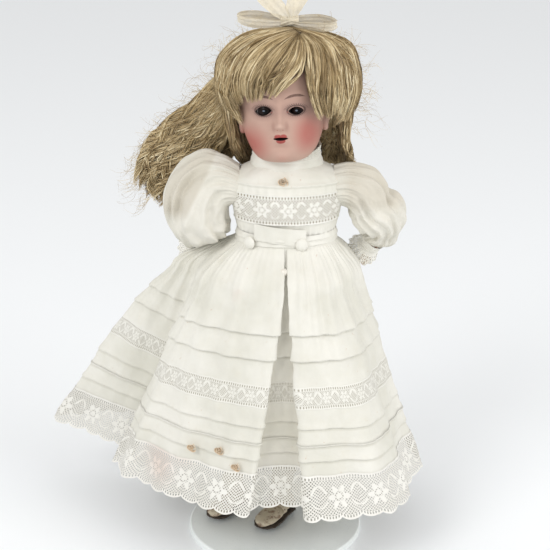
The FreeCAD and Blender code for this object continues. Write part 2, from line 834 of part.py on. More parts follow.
def make_shoe(name, ankle, shin):
    upper = shoe_form(ankle, 0, sole_thickness).cut(shin)
    throat_foot = V(ankle.x, ankle.y, sole_z + shoe_height / 2)
    throat = Part.makeCylinder(ankle_radius + seat_gap, shoe_height, throat_foot)
    save(name + "_shoe", largest(upper.cut(throat)))

    outline = []
    start = -heel_share * shoe_length
    points = []
    for along, width in shoe_width_shares:
        points.append(V(shoe_half_width * width + sole_margin, -(start + along * shoe_length), 0))
    loop = points + [V(-p.x, p.y, 0) for p in reversed(points)]
    for k, point in enumerate(loop):
        outline.append(Part.LineSegment(point, loop[(k + 1) % len(loop)]).toShape())
    sole = Part.Face(Part.Wire(outline)).extrude(V(0, 0, sole_thickness))
    sole.rotate(V(0, 0, 0), AXIS_Z, -foot_turn)
    sole.translate(V(ankle.x, ankle.y, sole_z))
    save(name + "_sole", sole)


def largest(shape):
    """The biggest solid of a cut that leaves crumbs."""
    return max(shape.Solids, key=lambda solid: solid.Volume)


# Bodice: stations of (height, half width, half depth) as shares from the belt to the neck
bodice_shares = [
    (0.00, 0.85, 0.95),
    (0.26, 0.91, 0.98),
    (0.56, 1.00, 1.00),
    (0.76, 1.00, 0.93),
    (0.88, 0.88, 0.80),
    (0.96, 0.62, 0.68),
    (1.00, 0.48, 0.60),
]
bodice_top_z = chin_z - bodice_below_chin


def bodice_form(inset):
    height = bodice_top_z - belt_z
    rings = [
        level_ring(belt_z + height * h, chest_half_width * w - inset, chest_half_depth * d - inset)
        for h, w, d in bodice_shares
    ]
    return loft(rings, True)


def make_bodice():
    outer = bodice_form(0)
    shell = outer.cut(bodice_form(cloth_wall))
    for side in SIDES.values():
        plane = doll_x + side * armhole_plane
        start = doll_x + side * chest_half_width * 0.6
        shell = shell.cut(along_x(start, plane, 0, shoulder_z, armhole_radius))
        band = along_x(start, plane, 0, shoulder_z, armhole_radius + cloth_wall)
        band = band.cut(along_x(start, plane, 0, shoulder_z, armhole_radius)).cut(bodice_form(cloth_wall))
        shell = shell.fuse(band)
    save("bodice", shell.removeSplitter())

    lace_top = shoulder_z - chest_lace_drop
    lace = bodice_form(-seat_gap - chest_lace_wall).cut(bodice_form(-seat_gap))
    front = block(
        doll_x - chest_half_width * 0.95, doll_x + chest_half_width * 0.95,
        -2 * chest_half_depth, -chest_half_depth * 0.3,
        lace_top - chest_lace_height, lace_top,
    )
    save("chest_lace", lace.common(front).cut(shell))

    belt_face = waist_half_width + belt_wall + cloth_wall
    band = level_band(belt_z - belt_height / 2, belt_z + belt_height / 2, belt_face)
    belt = band.cut(bodice_form(0)).cut(inner_waist()).cut(skirt_form(0))
    save("belt", largest(belt))
    strip_foot = belt_z - strip_below_belt
    strip_band = level_band(strip_foot, strip_foot + strip_height, belt_face + cloth_wall)
    strip = strip_band.common(
        block(
            doll_x - strip_half_width * 1.25, doll_x + strip_half_width * 0.75,
            -2 * waist_half_depth, 0,
            belt_z - strip_height, belt_z + 2 * strip_height,
        )
    )
    strip = strip.cut(band).cut(bodice_form(-seat_gap - chest_lace_wall)).cut(skirt_form(0))
    save("waist_strip", largest(strip))

    neck_z = bodice_top_z
    foot_half_width, foot_half_depth = chest_half_width * 0.54, chest_half_depth * 0.66
    collar_top = neck_z + collar_band_height
    rings_out = [
        level_ring(neck_z - cloth_wall, foot_half_width, foot_half_depth),
        level_ring(collar_top, collar_half_width, collar_half_depth),
    ]
    rings_in = [
        level_ring(neck_z - 2 * cloth_wall, foot_half_width - cloth_wall, foot_half_depth - cloth_wall),
        level_ring(collar_top + cut_overrun, collar_half_width - cloth_wall, collar_half_depth - cloth_wall),
    ]
    collar = loft(rings_out, True).cut(loft(rings_in, True)).cut(bodice_form(0)).cut(pose_head(head_solid(0)))
    collar = save("collar", largest(collar))

    buttons = []
    for k in range(back_button_count):
        z = belt_z + (bodice_top_z - belt_z) * (0.2 + 0.65 * k / (back_button_count - 1))
        button = Part.makeCylinder(back_button_radius, chest_half_depth, V(doll_x, 0, z), AXIS_Y)
        buttons.append(button.common(bodice_form(-back_button_height)).cut(outer))
    save("back_buttons", Part.makeCompound(buttons))

    rosette_foot = V(doll_x - yoke_rosette_beside, 0, shoulder_z + yoke_rosette_above)
    rosette = Part.makeCylinder(rosette_radius, 2 * chest_half_depth, rosette_foot, V(0, -1, 0))
    rosette = rosette.common(bodice_form(-rosette_height)).cut(outer)
    save("yoke_rosette", rosette)
    return shell.fuse(collar), strip


def level_band(z0, z1, half_width):
    """A band round the waist, before it is hollowed."""
    half_depth = half_width - waist_half_width + waist_half_depth
    return loft([level_ring(z0, half_width, half_depth), level_ring(z1, half_width, half_depth)], True)


def inner_waist():
    half_width, half_depth = waist_half_width, waist_half_depth
    low, high = belt_z - 2 * belt_height, belt_z + 2 * belt_height
    return loft([level_ring(low, half_width, half_depth), level_ring(high, half_width, half_depth)], True)


# Skirt: outlines seen from above as (x, y) shares of the skirt's reach, from the front fold round by her left
hip_outline_shares = [
    (-0.03, -0.49), (0.03, -0.49), (0.08, -0.53), (0.21, -0.51), (0.39, -0.42), (0.53, -0.22),
    (0.59, 0.05), (0.57, 0.30), (0.43, 0.46), (0.19, 0.50), (-0.06, 0.46), (-0.28, 0.41),
    (-0.46, 0.30), (-0.88, 0.14), (-0.85, 0.03), (-0.70, -0.03), (-0.73, -0.17), (-0.61, -0.31),
    (-0.46, -0.41), (-0.28, -0.48), (-0.09, -0.53),
]
hem_outline_shares = [
    (-0.13, -0.66), (0.07, -0.66), (0.20, -0.87), (0.48, -0.83), (0.80, -0.72), (1.04, -0.24),
    (1.12, 0.20), (1.02, 0.62), (0.71, 0.88), (0.27, 0.98), (-0.22, 0.98), (-0.72, 0.96),
    (-1.25, 0.97), (-1.99, 0.80), (-1.66, 0.46), (-1.30, 0.26), (-1.46, 0.08), (-1.14, -0.32),
    (-0.87, -0.54), (-0.62, -0.66), (-0.37, -0.80),
]
# Skirt rosettes: (beside, above the hem) as shares of the skirt's reach and length
skirt_rosette_shares = [(-0.557, 0.169), (-0.302, 0.177), (-0.138, 0.123)]


def outline_points(shares, inset):
    """Corners of a skirt outline, drawn in square to its edge by an inset."""
    places = [V(doll_x + skirt_reach * x, skirt_reach * y, 0) for x, y in shares]
    corners = []
    for k, place in enumerate(places):
        before, after = places[k - 1], places[(k + 1) % len(places)]
        run_in, run_out = (place - before).normalize(), (after - place).normalize()
        normal_in, normal_out = V(run_in.y, -run_in.x, 0), V(run_out.y, -run_out.x, 0)
        middle = (normal_in + normal_out).normalize()
        corners.append(place - middle * (inset / max(middle.dot(normal_in), 0.5)))
    return corners


def waist_points(inset):
    half_width, half_depth = waist_half_width - inset, waist_half_depth - inset
    angles = [math.atan2(y, x) for x, y in hip_outline_shares]
    return [V(doll_x + half_width * math.cos(angle), half_depth * math.sin(angle), 0) for angle in angles]


def gathered_wire(corners, z, puff):
    """Arcs between the corners, each panel split into gathers that stand out by the puff."""
    arcs = []
    for k, start in enumerate(corners):
        end = corners[(k + 1) % len(corners)]
        run = end - start
        out = V(run.y, -run.x, 0).normalize()
        for g in range(gathers_per_panel):
            a = start + run * (g / gathers_per_panel)
            b = start + run * ((g + 1) / gathers_per_panel)
            lift = min(puff, (b - a).Length * 0.12)
            m = (a + b) * 0.5 + out * lift
            arcs.append(Part.Arc(V(a.x, a.y, z), V(m.x, m.y, z), V(b.x, b.y, z)).toShape())
    return Part.Wire(arcs)


def skirt_form(inset, past=0.0):
    waist = waist_points(inset)
    hip = outline_points(hip_outline_shares, inset)
    hem = outline_points(hem_outline_shares, inset)
    wires = [
        gathered_wire(hem, hem_z, hem_gather),
        gathered_wire(hip, hip_fold_z, hip_gather),
        gathered_wire(waist, belt_z, waist_gather),
    ]
    if past:
        wires.insert(0, gathered_wire(hem, hem_z - past, hem_gather))
        wires.append(gathered_wire(waist, belt_z + past, waist_gather))
    return loft(wires, True)


def make_skirt(strip):
    shell = skirt_form(0).cut(skirt_form(cloth_wall, cut_overrun))
    reach = 3 * skirt_reach
    lace_space = block(-reach, reach, -reach, reach, hem_z - cut_overrun, hem_z + hem_lace_height)
    save("skirt", shell.cut(lace_space))
    save("hem_lace", shell.common(lace_space))

    form, raised = skirt_form(0), skirt_form(-rosette_height)
    rosettes = []
    for x, z in skirt_rosette_shares:
        place = V(doll_x + skirt_reach * x, 0, hem_z + skirt_length * z)
        rod = Part.makeCylinder(rosette_radius, 2 * skirt_reach, place, V(-0.35, -1, 0.1))
        rosettes.append(largest(rod.common(raised).cut(form)))
    save("skirt_rosettes", Part.makeCompound(rosettes))

    place = V(doll_x - pearl_beside, 0, belt_z - 2 * belt_height + pearl_radius)
    rod = Part.makeCylinder(pearl_radius, 3 * waist_half_depth, place, V(0, -1, 0))
    save("pearl_button", largest(rod.common(skirt_form(-pearl_height)).cut(form)))

    low, high = belt_z - belt_height, belt_z + belt_height
    belt_face = waist_half_width + belt_wall + cloth_wall
    raised = level_band(low, high, belt_face + covered_button_height)
    flush = level_band(low, high, belt_face)
    buttons = []
    for x in (-right_button_beside, left_button_beside):
        rod = Part.makeCylinder(covered_button_radius, 2 * belt_face, V(doll_x + x, 0, belt_z), V(0, -1, 0))
        buttons.append(largest(rod.common(raised).cut(flush).cut(strip).cut(form)))
    save("covered_buttons", Part.makeCompound(buttons))


# Sleeve: stations of (beside, behind, below, radius over, radius across, lean) as shares of the arm's reach
sleeve_shares = [
    (0.584, 0.00, -0.02, 0.155, 0.155, 0),
    (0.68, 0.00, -0.02, 0.31, 0.28, 12),
    (0.84, 0.01, 0.10, 0.33, 0.32, 40),
    (0.93, 0.03, 0.33, 0.29, 0.28, 80),
    (0.92, 0.12, 0.52, 0.22, 0.21, 100),
    (0.888, 0.19, 0.63, 0.094, 0.094, 110),
]


def sleeve_form(side, inset, past=0.0):
    rings = []
    last = len(sleeve_shares) - 1
    for k, (beside, behind, below, over, across, lean) in enumerate(sleeve_shares):
        centre = arm_point(side, (beside, behind, below))
        angle = math.radians(lean)
        run = V(side * math.cos(angle), 0, -math.sin(angle))
        if k == last:
            run = (arm_point(side, forearm_shares[2]) - arm_point(side, forearm_shares[1])).normalize()
        up = AXIS_Y.cross(run).normalize() * side
        if k == 0:
            centre = centre - run * past
        if k == last:
            centre = centre + run * past
        puff = sleeve_gather if 0 < k < last else sleeve_gather / 3
        sideways = run.cross(up).normalize()
        half_over, half_across = arm_reach * over - inset, arm_reach * across - inset
        rings.append(ring(centre, up, sideways, half_over, half_across, sleeve_corners, puff))
    return loft(rings, True)


def make_sleeve(name, side):
    outer = sleeve_form(side, 0)
    shell = outer.cut(sleeve_form(side, sleeve_wall, cut_overrun))
    save(name + "_sleeve", shell)
    run = (arm_point(side, forearm_shares[2]) - arm_point(side, forearm_shares[1])).normalize()
    beside, behind, below, over, across, lean = sleeve_shares[-1]
    seat = arm_point(side, (beside, behind, below)) + run * seat_gap
    radius = arm_reach * over
    cuff = Part.makeCylinder(radius, cuff_height, seat, run)
    cuff = cuff.cut(Part.makeCylinder(radius - cuff_wall, cuff_height, seat, run))
    save(name + "_cuff", cuff)


# Wig: crown stations of (height share of the head, half width, half depth) as shares of the wig's sizes
wig_shares = [
    (0.14, 0.86, 0.80),
    (0.30, 0.98, 0.94),
    (0.52, 1.00, 1.00),
    (0.72, 0.92, 0.95),
    (0.86, 0.80, 0.84),
    (0.96, 0.62, 0.68),
    (1.05, 0.36, 0.42),
    (1.10, 0.10, 0.14),
]
# Hair behind the neck: stations of (fall, half width, half depth, beside, behind) as shares of the same sizes
fall_shares = [
    (0.00, 0.86, 0.80, 0.018, 0.0), (0.20, 0.86, 0.66, 0.07, 0.125), (0.38, 0.62, 0.36, 0.175, 0.417),
]
# Long lock, swept out to her right: stations of (beside, behind, above the chin, half height, half depth)
lock_shares = [
    (0.72, 0.42, 0.38, 0.26, 0.16),
    (1.30, 0.90, 0.06, 0.30, 0.17),
    (1.72, 1.02, -0.26, 0.40, 0.15),
    (2.02, 1.04, -0.46, 0.34, 0.13),
    (2.20, 1.04, -0.56, 0.16, 0.06),
]


def wig_form():
    """The wig's cap, before the face and the head are cut from it."""
    x = doll_x + wig_beside
    rings = [
        level_ring(chin_z + head_height * h, wig_half_width * w, wig_half_depth * d, x, wig_y)
        for h, w, d in wig_shares
    ]
    return loft(rings, True)


def make_wig(head, bodice):
    head_form = pose_head(head_solid(-hair_gap))
    cap = wig_form()
    window_top = chin_z + face_window_share * head_height
    window = block(
        doll_x - face_window_half_width, doll_x + face_window_half_width,
        -2 * wig_half_depth, 0,
        chin_z - head_height, window_top,
    )
    collar_space = bodice_form(-hair_over_collar)
    crown = cap.cut(window).cut(head_form).cut(head)
    fringe_zone = block(
        doll_x - face_window_half_width, doll_x + face_window_half_width,
        -2 * wig_half_depth, -head_front * 0.35,
        window_top, window_top + fringe_drop,
    )
    save("wig_fringe", largest(crown.common(fringe_zone)))
    save("wig_crown", largest(crown.cut(fringe_zone)))

    fall_top = chin_z + head_height * wig_shares[0][0]
    back = loft(
        [
            level_ring(
                fall_top - head_height * fall, wig_half_width * w, wig_half_depth * d,
                doll_x + wig_half_width * beside, wig_y + wig_half_depth * behind,
            )
            for fall, w, d, beside, behind in fall_shares
        ],
        True,
    )
    front_space = block(
        doll_x - 2 * wig_half_width, doll_x + 2 * wig_half_width,
        -2 * wig_half_depth, hair_front_limit,
        chin_z - head_height, fall_top,
    )
    back = back.cut(front_space).cut(head_form).cut(collar_space).cut(bodice)
    for side in SIDES.values():
        swing = along_x(
            doll_x + side * (armhole_plane + seat_gap), doll_x + side * 2 * armhole_plane,
            0, shoulder_z, arm_reach * sleeve_swing_share,
        )
        back = back.cut(swing)
    save("wig_back", largest(back))

    stations = []
    for beside, behind, above, half_height, half_depth in lock_shares:
        centre = V(doll_x - wig_half_width * beside, wig_half_depth * behind, chin_z + head_height * above)
        stations.append(ring(centre, AXIS_Y, AXIS_Z, head_height * half_depth, head_height * half_height))
    lock = loft(stations, True)
    lock = lock.cut(cap).cut(back).cut(head_form).cut(collar_space)
    save("wig_long_lock", largest(lock))


def make_bow():
    knot_z = chin_z + head_height * wig_shares[-1][0] + bow_half_height * 0.45
    knot = V(doll_x + knot_beside, knot_behind, knot_z)
    loops = []
    for side in SIDES.values():
        rings = []
        for out, up, depth, height in (
            (knot_half_width * 0.8, 0, 0.5, 0.45),
            (bow_half_length * 0.55, bow_half_height * 0.2, 1.0, 1.0),
            (bow_half_length, 0, 0.9, 0.5),
        ):
            centre = knot + V(side * out, 0, up)
            rings.append(ring(centre, AXIS_Y, AXIS_Z, bow_half_depth * depth, bow_half_height * height))
        loops.append(loft(rings, True))
    body = loft(
        [
            ring(knot - V(knot_half_width, 0, 0), AXIS_Y, AXIS_Z, bow_half_depth * 0.6, knot_half_height),
            ring(knot, AXIS_Y, AXIS_Z, bow_half_depth * 0.7, knot_half_height * 1.1),
            ring(knot + V(knot_half_width, 0, 0), AXIS_Y, AXIS_Z, bow_half_depth * 0.6, knot_half_height),
        ],
        True,
    )
    wig_top = wig_form()
    save("bow_knot", body.cut(wig_top))
    save("bow_loops", Part.makeCompound([shape.cut(body).cut(wig_top) for shape in loops]))
    tails = []
    for side, lean in ((-1, right_tail_lean), (1, left_tail_lean)):
        angle = math.radians(lean)
        up = V(side * math.sin(angle), 0, math.cos(angle))
        across = V(math.cos(angle), 0, -side * math.sin(angle))
        start = knot + up * knot_half_height
        tail = loft(
            [
                ring(start, across, AXIS_Y, tail_width * 0.35, ribbon_thickness),
                ring(start + up * tail_length, across, AXIS_Y, tail_width * 0.55, ribbon_thickness),
            ],
            True,
        )
        for other in loops:
            tail = tail.cut(other)
        tails.append(largest(tail.cut(body)))
    save("bow_tails", Part.makeCompound(tails))


make_stand()
make_clip()
head_shape = make_head()
make_eyes()
make_torso(head_shape)
for side_name, side_sign in SIDES.items():
    make_arm(side_name, side_sign)
    make_leg(side_name, side_sign)
    make_sleeve(side_name, side_sign)
bodice_shape, strip_shape = make_bodice()
make_skirt(strip_shape)
make_wig(head_shape, bodice_shape)
make_bow()
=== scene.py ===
from math import atan2, copysign, cos, exp, floor, hypot, pi, radians, sin, sqrt, tau

import bmesh
import bpy
import numpy as np
from mathutils import Matrix, Vector, noise


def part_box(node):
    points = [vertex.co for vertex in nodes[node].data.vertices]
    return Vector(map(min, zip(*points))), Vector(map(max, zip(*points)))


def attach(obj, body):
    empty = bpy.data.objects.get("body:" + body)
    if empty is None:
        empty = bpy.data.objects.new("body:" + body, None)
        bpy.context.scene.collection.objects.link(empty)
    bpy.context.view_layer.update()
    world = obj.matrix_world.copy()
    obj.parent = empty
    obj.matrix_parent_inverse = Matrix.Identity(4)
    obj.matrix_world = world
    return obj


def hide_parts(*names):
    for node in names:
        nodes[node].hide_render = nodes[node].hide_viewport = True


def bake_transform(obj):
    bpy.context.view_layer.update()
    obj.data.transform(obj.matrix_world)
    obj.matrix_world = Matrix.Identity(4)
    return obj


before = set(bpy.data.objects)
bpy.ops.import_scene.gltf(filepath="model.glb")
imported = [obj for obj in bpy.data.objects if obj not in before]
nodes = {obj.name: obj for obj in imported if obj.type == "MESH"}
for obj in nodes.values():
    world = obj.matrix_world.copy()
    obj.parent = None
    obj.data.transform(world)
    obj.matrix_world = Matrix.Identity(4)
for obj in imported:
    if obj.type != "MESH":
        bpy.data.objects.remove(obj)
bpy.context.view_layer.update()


def linked(name, data):
    """A new object of the scene."""
    item = bpy.data.objects.new(name, data)
    bpy.context.scene.collection.objects.link(item)
    return item


def mesh_of(name, shape):
    """The mesh that a bmesh describes. The bmesh is freed."""
    mesh = bpy.data.meshes.new(name)
    shape.to_mesh(mesh)
    shape.free()
    return mesh


def shade_smooth(mesh):
    mesh.polygons.foreach_set("use_smooth", [True] * len(mesh.polygons))


# Camera and studio
# A doll on a pale table, seen from a little above with a long lens.
# Broad soft light falls from the front left, and the whole room is white.
picture_width, focal_pixels, camera_dip = 550, 1328, 19.4
camera_data = bpy.data.cameras.new("photo_camera")
camera_data.sensor_width = 36.0
camera_data.lens = camera_data.sensor_width * focal_pixels / picture_width
camera_data.clip_start = 0.05
camera_data.clip_end = 30.0
camera = linked("photo_camera", camera_data)
camera.location = (0, -1.0, 0.577)
camera.rotation_euler = (radians(90 - camera_dip), 0, 0)
bpy.context.scene.camera = camera
bpy.context.scene.view_settings.view_transform = "Standard"


class Term:
    """A value in a finish, which takes part in sums as a number does."""

    def __init__(self, finish, socket):
        self.finish = finish
        self.socket = socket

    def __abs__(self):
        return self.finish.calc("ABSOLUTE", self)


def operator(operation, swapped):
    def combine(self, other):
        return self.finish.calc(operation, *((other, self) if swapped else (self, other)))

    return combine


operations = {"add": "ADD", "sub": "SUBTRACT", "mul": "MULTIPLY", "truediv": "DIVIDE", "pow": "POWER"}
for word, operation in operations.items():
    setattr(Term, f"__{word}__", operator(operation, False))
    setattr(Term, f"__r{word}__", operator(operation, True))


class Finish:
    """A node material. add() places any node, and the other calls are short for the ones used most."""

    def __init__(self, name, **surface):
        self.material = bpy.data.materials.new(name)
        self.material.use_nodes = True
        self.tree = self.material.node_tree
        self.surface = self.tree.nodes["Principled BSDF"]
        self.set(**surface)

    def add(self, kind, settings=None, inputs=None, output=0):
        node = self.tree.nodes.new(kind)
        for name, value in (settings or {}).items():
            if name == "stops":
                ramp = node.color_ramp
                while len(ramp.elements) < len(value):
                    ramp.elements.new(0.5)
                for element, (place, colour) in zip(ramp.elements, value):
                    element.position = place
                    element.color = (*colour, 1)
            else:
                setattr(node, name, value)
        for key, value in (inputs or {}).items():
            if isinstance(value, Term):
                self.tree.links.new(value.socket, node.inputs[key])
            else:
                node.inputs[key].default_value = value
        return Term(self, node.outputs[output])

    def set(self, **surface):
        for name, value in surface.items():
            socket = self.surface.inputs[name.replace("_", " ")]
            if isinstance(value, Term):
                self.tree.links.new(value.socket, socket)
            else:
                socket.default_value = (*value, 1) if isinstance(value, tuple) else value

    def place(self, centre=(0, 0, 0), turn=(0, 0, 0)):
        """Object coordinates, seen from a frame at centre that is turned."""
        raw = self.add("ShaderNodeTexCoord", output="Object")
        return self.add(
            "ShaderNodeMapping", {"vector_type": "TEXTURE"},
            {"Vector": raw, "Location": centre, "Rotation": turn},
        )

    def uv(self):
        return self.add("ShaderNodeTexCoord", output="UV")

    def axis(self, vector, name):
        return self.add("ShaderNodeSeparateXYZ", inputs={0: vector}, output=name)

    def noise(self, vector, scale, detail=3.0, rough=0.5, distortion=0.0):
        return self.add(
            "ShaderNodeTexNoise",
            inputs={
                "Vector": vector, "Scale": scale, "Detail": detail, "Roughness": rough,
                "Distortion": distortion,
            },
        )

    def step(self, value, low, high, start=0.0, end=1.0):
        return self.add(
            "ShaderNodeMapRange",
            {"interpolation_type": "SMOOTHSTEP"},
            {"Value": value, "From Min": low, "From Max": high, "To Min": start, "To Max": end},
        )

    def fall(self, value, low, high):
        """1 below low, falling to 0 above high."""
        return self.step(value, low, high, 1.0, 0.0)

    def calc(self, operation, first, second=0.0, third=0.0):
        return self.add("ShaderNodeMath", {"operation": operation}, {0: first, 1: second, 2: third})

    def sine(self, value):
        return self.calc("SINE", value)

    def most(self, first, second):
        return self.calc("MAXIMUM", first, second)

    def away(self, across, up):
        """How far a place is from the middle."""
        return self.calc("SQRT", across * across + up * up)

    def gap(self, place, point):
        return self.add("ShaderNodeVectorMath", {"operation": "DISTANCE"}, {0: place, 1: point}, 1)

    def mix(self, share, first, second):
        first, second = (value if isinstance(value, Term) else (*value, 1) for value in (first, second))
        return self.add("ShaderNodeMix", {"data_type": "RGBA"}, {0: share, 6: first, 7: second}, 2)

    def bump(self, height, distance, strength=1.0):
        return self.add(
            "ShaderNodeBump", inputs={"Height": height, "Distance": distance, "Strength": strength}
        )

    def band(self, value, low, high, soft):
        """1 between low and high, 0 outside, with soft edges."""
        return self.step(value, low - soft, low + soft) * self.fall(value, high - soft, high + soft)


def mottled(name, scale, detail, dark, pale, bump=None, **surface):
    """A finish whose two tones are mixed by a cloudy noise, with the same noise as its relief."""
    finish = Finish(name, **surface)
    cloud = finish.noise(finish.place(), scale, detail)
    finish.set(Base_Color=finish.mix(cloud, dark, pale))
    if bump:
        finish.set(Normal=finish.bump(cloud, *bump))
    return finish


def coat(finish, *names):
    """Give nodes of the solids a finish."""
    for name in names:
        nodes[name].material_slots[0].material = finish.material


floor_data = bmesh.new()
bmesh.ops.create_grid(floor_data, x_segments=1, y_segments=1, size=12.0)
floor_mesh = mesh_of("table_top", floor_data)
table_top = linked("table_top", floor_mesh)
floor_finish = Finish("table_white", Base_Color=(0.90, 0.915, 0.925), Roughness=0.9, Specular_IOR_Level=0.1)
floor_mesh.materials.append(floor_finish.material)

world = bpy.data.worlds.new("white_room")
bpy.context.scene.world = world
world.use_nodes = True
surround = world.node_tree.nodes["Background"].inputs
surround["Color"].default_value = (1.0, 1.0, 1.0, 1)
surround["Strength"].default_value = 0.80


def soft_light(name, place, size, watts):
    data = bpy.data.lights.new(name, "AREA")
    data.size = size
    data.energy = watts
    lamp = linked(name, data)
    lamp.location = place
    lamp.rotation_euler = (Vector((0, 0, 0.25)) - Vector(place)).to_track_quat("-Z", "Y").to_euler()


soft_light("key_left", (-1.5, -1.7, 1.9), 1.2, 26)
soft_light("fill_right", (1.8, -1.2, 1.2), 1.4, 19)


def add_piece(name, shape, body, slot, finish):
    """Turn a bmesh into a piece of the object that rides on a body."""
    mesh = mesh_of(name, shape)
    shade_smooth(mesh)
    piece = linked(name, mesh)
    mesh.materials.append(finish.material)
    if body:
        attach(piece, body)
    return piece


def apply_modifiers(piece):
    """Bake what the piece's modifiers make into its mesh."""
    graph = bpy.context.evaluated_depsgraph_get()
    made = bpy.data.meshes.new_from_object(piece.evaluated_get(graph))
    piece.modifiers.clear()
    piece.data = made
    return piece


# Display stand
# A round enamelled steel plate with a socket, a tube and a sliding rod behind the doll.
# A sprung wire waist clip and a thumb screw hold the doll at her height.
enamel = Finish("stand_enamel", Roughness=0.32, Coat_Weight=0.3)
enamel_place = enamel.place()
enamel_cloud = enamel.noise(enamel_place, 35.0, 4.0)
enamel_speck = enamel.step(enamel.noise(enamel_place, 900.0, 2.0), 0.66, 0.74)
enamel_colour = enamel.mix(enamel_cloud, (0.80, 0.84, 0.83), (0.90, 0.93, 0.91))
enamel.set(
    Base_Color=enamel.mix(enamel_speck * 0.35, enamel_colour, (0.45, 0.48, 0.49)),
    Normal=enamel.bump(enamel_cloud, 0.0004, 0.3),
)
drawn_steel = Finish("drawn_steel", Metallic=1.0)
steel_place = drawn_steel.place()
drawn_out = {0: steel_place, 1: (1, 1, 0.04)}
steel_grain = drawn_steel.noise(
    drawn_steel.add("ShaderNodeVectorMath", {"operation": "MULTIPLY"}, drawn_out), 2500.0, 3.0
)
drawn_steel.set(
    Base_Color=drawn_steel.mix(steel_grain, (0.46, 0.47, 0.48), (0.68, 0.69, 0.70)),
    Roughness=drawn_steel.step(steel_grain, 0.2, 0.8, 0.22, 0.42),
)
coat(enamel, "stand_base")
coat(drawn_steel, "stand_socket", "stand_tube", "stand_collar", "stand_thumb_screw", "stand_rod")
coat(drawn_steel, "clip_block", "waist_clip", "eye_bridge")
for side in ("right", "left"):
    coat(drawn_steel, side + "_shoulder_rivet", side + "_hip_rivet", side + "_knee_rivet")

# Shoulder head
# A hollow casting of tinted bisque, fired without glaze, with a painted face and an open mouth.
# The head is turned a little to her right. Its crown is open under a pasteboard pate.
crown_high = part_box("pate")[1].z
head_height = 0.086
chin = Vector((0.0078, 0, crown_high - head_height))
head_pose = (
    Matrix.Translation(chin)
    @ Matrix.Rotation(radians(-3.2), 4, "Y")
    @ Matrix.Rotation(radians(-4), 4, "Z")
)
head_turn = head_pose.to_euler("XYZ")
face_half_width, face_front, head_back = 0.0355, 0.0355, 0.040
eye_beside, eye_up = 0.01225, 0.452 * head_height
eye_radius = 0.0075
# Height above the chin, half width, front and back, each as a share of its size
head_form = [
    (-0.52, 1.15, 0.66, 0.58),
    (-0.34, 1.13, 0.66, 0.56),
    (-0.20, 0.86, 0.55, 0.48),
    (-0.14, 0.52, 0.44, 0.40),
    (-0.10, 0.45, 0.44, 0.38),
    (-0.045, 0.46, 0.56, 0.38),
    (-0.012, 0.59, 0.82, 0.46),
    (0.045, 0.70, 0.955, 0.60),
    (0.15, 0.81, 0.985, 0.80),
    (0.30, 0.905, 0.985, 0.93),
    (0.465, 0.955, 0.965, 0.99),
    (0.63, 0.96, 0.995, 1.00),
    (0.77, 0.90, 0.93, 0.95),
    (0.885, 0.71, 0.73, 0.80),
    (0.965, 0.43, 0.42, 0.54),
    (1.0, 0.03, 0.03, 0.05),
]


def along(stations, value):
    """Smooth values at a height, from stations of (height, value, value, ...)."""
    k = 0
    while k < len(stations) - 2 and stations[k + 1][0] < value:
        k += 1
    near = [stations[max(0, min(len(stations) - 1, k + d))] for d in (-1, 0, 1, 2)]
    t = (value - near[1][0]) / max(near[2][0] - near[1][0], 1e-9)
    t = max(0.0, min(1.0, t))
    found = []
    for a, b, c, d in zip(*near):
        span = near[2][0] - near[1][0]
        before = (c - a) / max(near[2][0] - near[0][0], 1e-9) * span
        after = (d - b) / max(near[3][0] - near[1][0], 1e-9) * span
        found.append(
            (2 * t**3 - 3 * t**2 + 1) * b
            + (t**3 - 2 * t**2 + t) * before
            + (3 * t**2 - 2 * t**3) * c
            + (t**3 - t**2) * after
        )
    return found[1:]


def bell(gap, wide):
    """1 in the middle, falling softly to 0 a few widths away."""
    return exp(-((gap / wide) ** 2))


def hill(x, z, at_x, at_z, wide, high):
    return bell(x - at_x, wide) * bell(z - at_z, high)


# Rise of each hill in millimetres, whether there is one on both sides, its place beside and above the chin,
# its half width and half height
face_hills = [
    (1.5, True, 17.5, 19.0, 9.5, 10.0),
    (1.0, True, 12.0, 10.0, 9.0, 7.0),
    (1.5, False, 18.0, 38.5, 5.5, 7.0),
    (1.0, True, 12.4, 44.4, 7.4, 1.9),
    (0.55, True, 12.4, 34.0, 7.0, 1.7),
    (1.1, True, 11.0, 51.0, 12.0, 4.0),
    (1.8, False, 0, 41.0, 3.6, 9.0),
    (2.6, False, 0, 33.0, 3.3, 7.0),
    (3.2, False, 0, 28.6, 3.9, 3.9),
    (1.7, True, 4.0, 27.2, 2.1, 2.4),
    (-0.6, True, 6.2, 26.3, 1.4, 2.6),
    (-0.5, False, 0, 23.8, 1.0, 1.5),
    (1.4, False, 0, 19.4, 6.2, 4.4),
    (0.95, True, 2.0, 20.6, 2.6, 1.25),
    (1.15, False, 0, 16.4, 3.6, 1.5),
    (-0.6, True, 7.0, 18.4, 1.5, 1.7),
    (-1.0, False, 0, 11.6, 5.6, 1.6),
    (2.2, False, 0, 4.2, 6.4, 4.6),
    (-0.4, False, 0, 3.2, 1.3, 2.2),
]


def face_relief(x, z):
    """How far the face stands out at a place beside and above the chin, in millimetres."""
    socket = (0.9 if x > 0 else 2.3) * hill(abs(x), z, 12.6, 39.8, 7.8, 5.6)
    return sum(rise * hill(abs(x) if paired else x, z, *form) for rise, paired, *form in face_hills) - socket


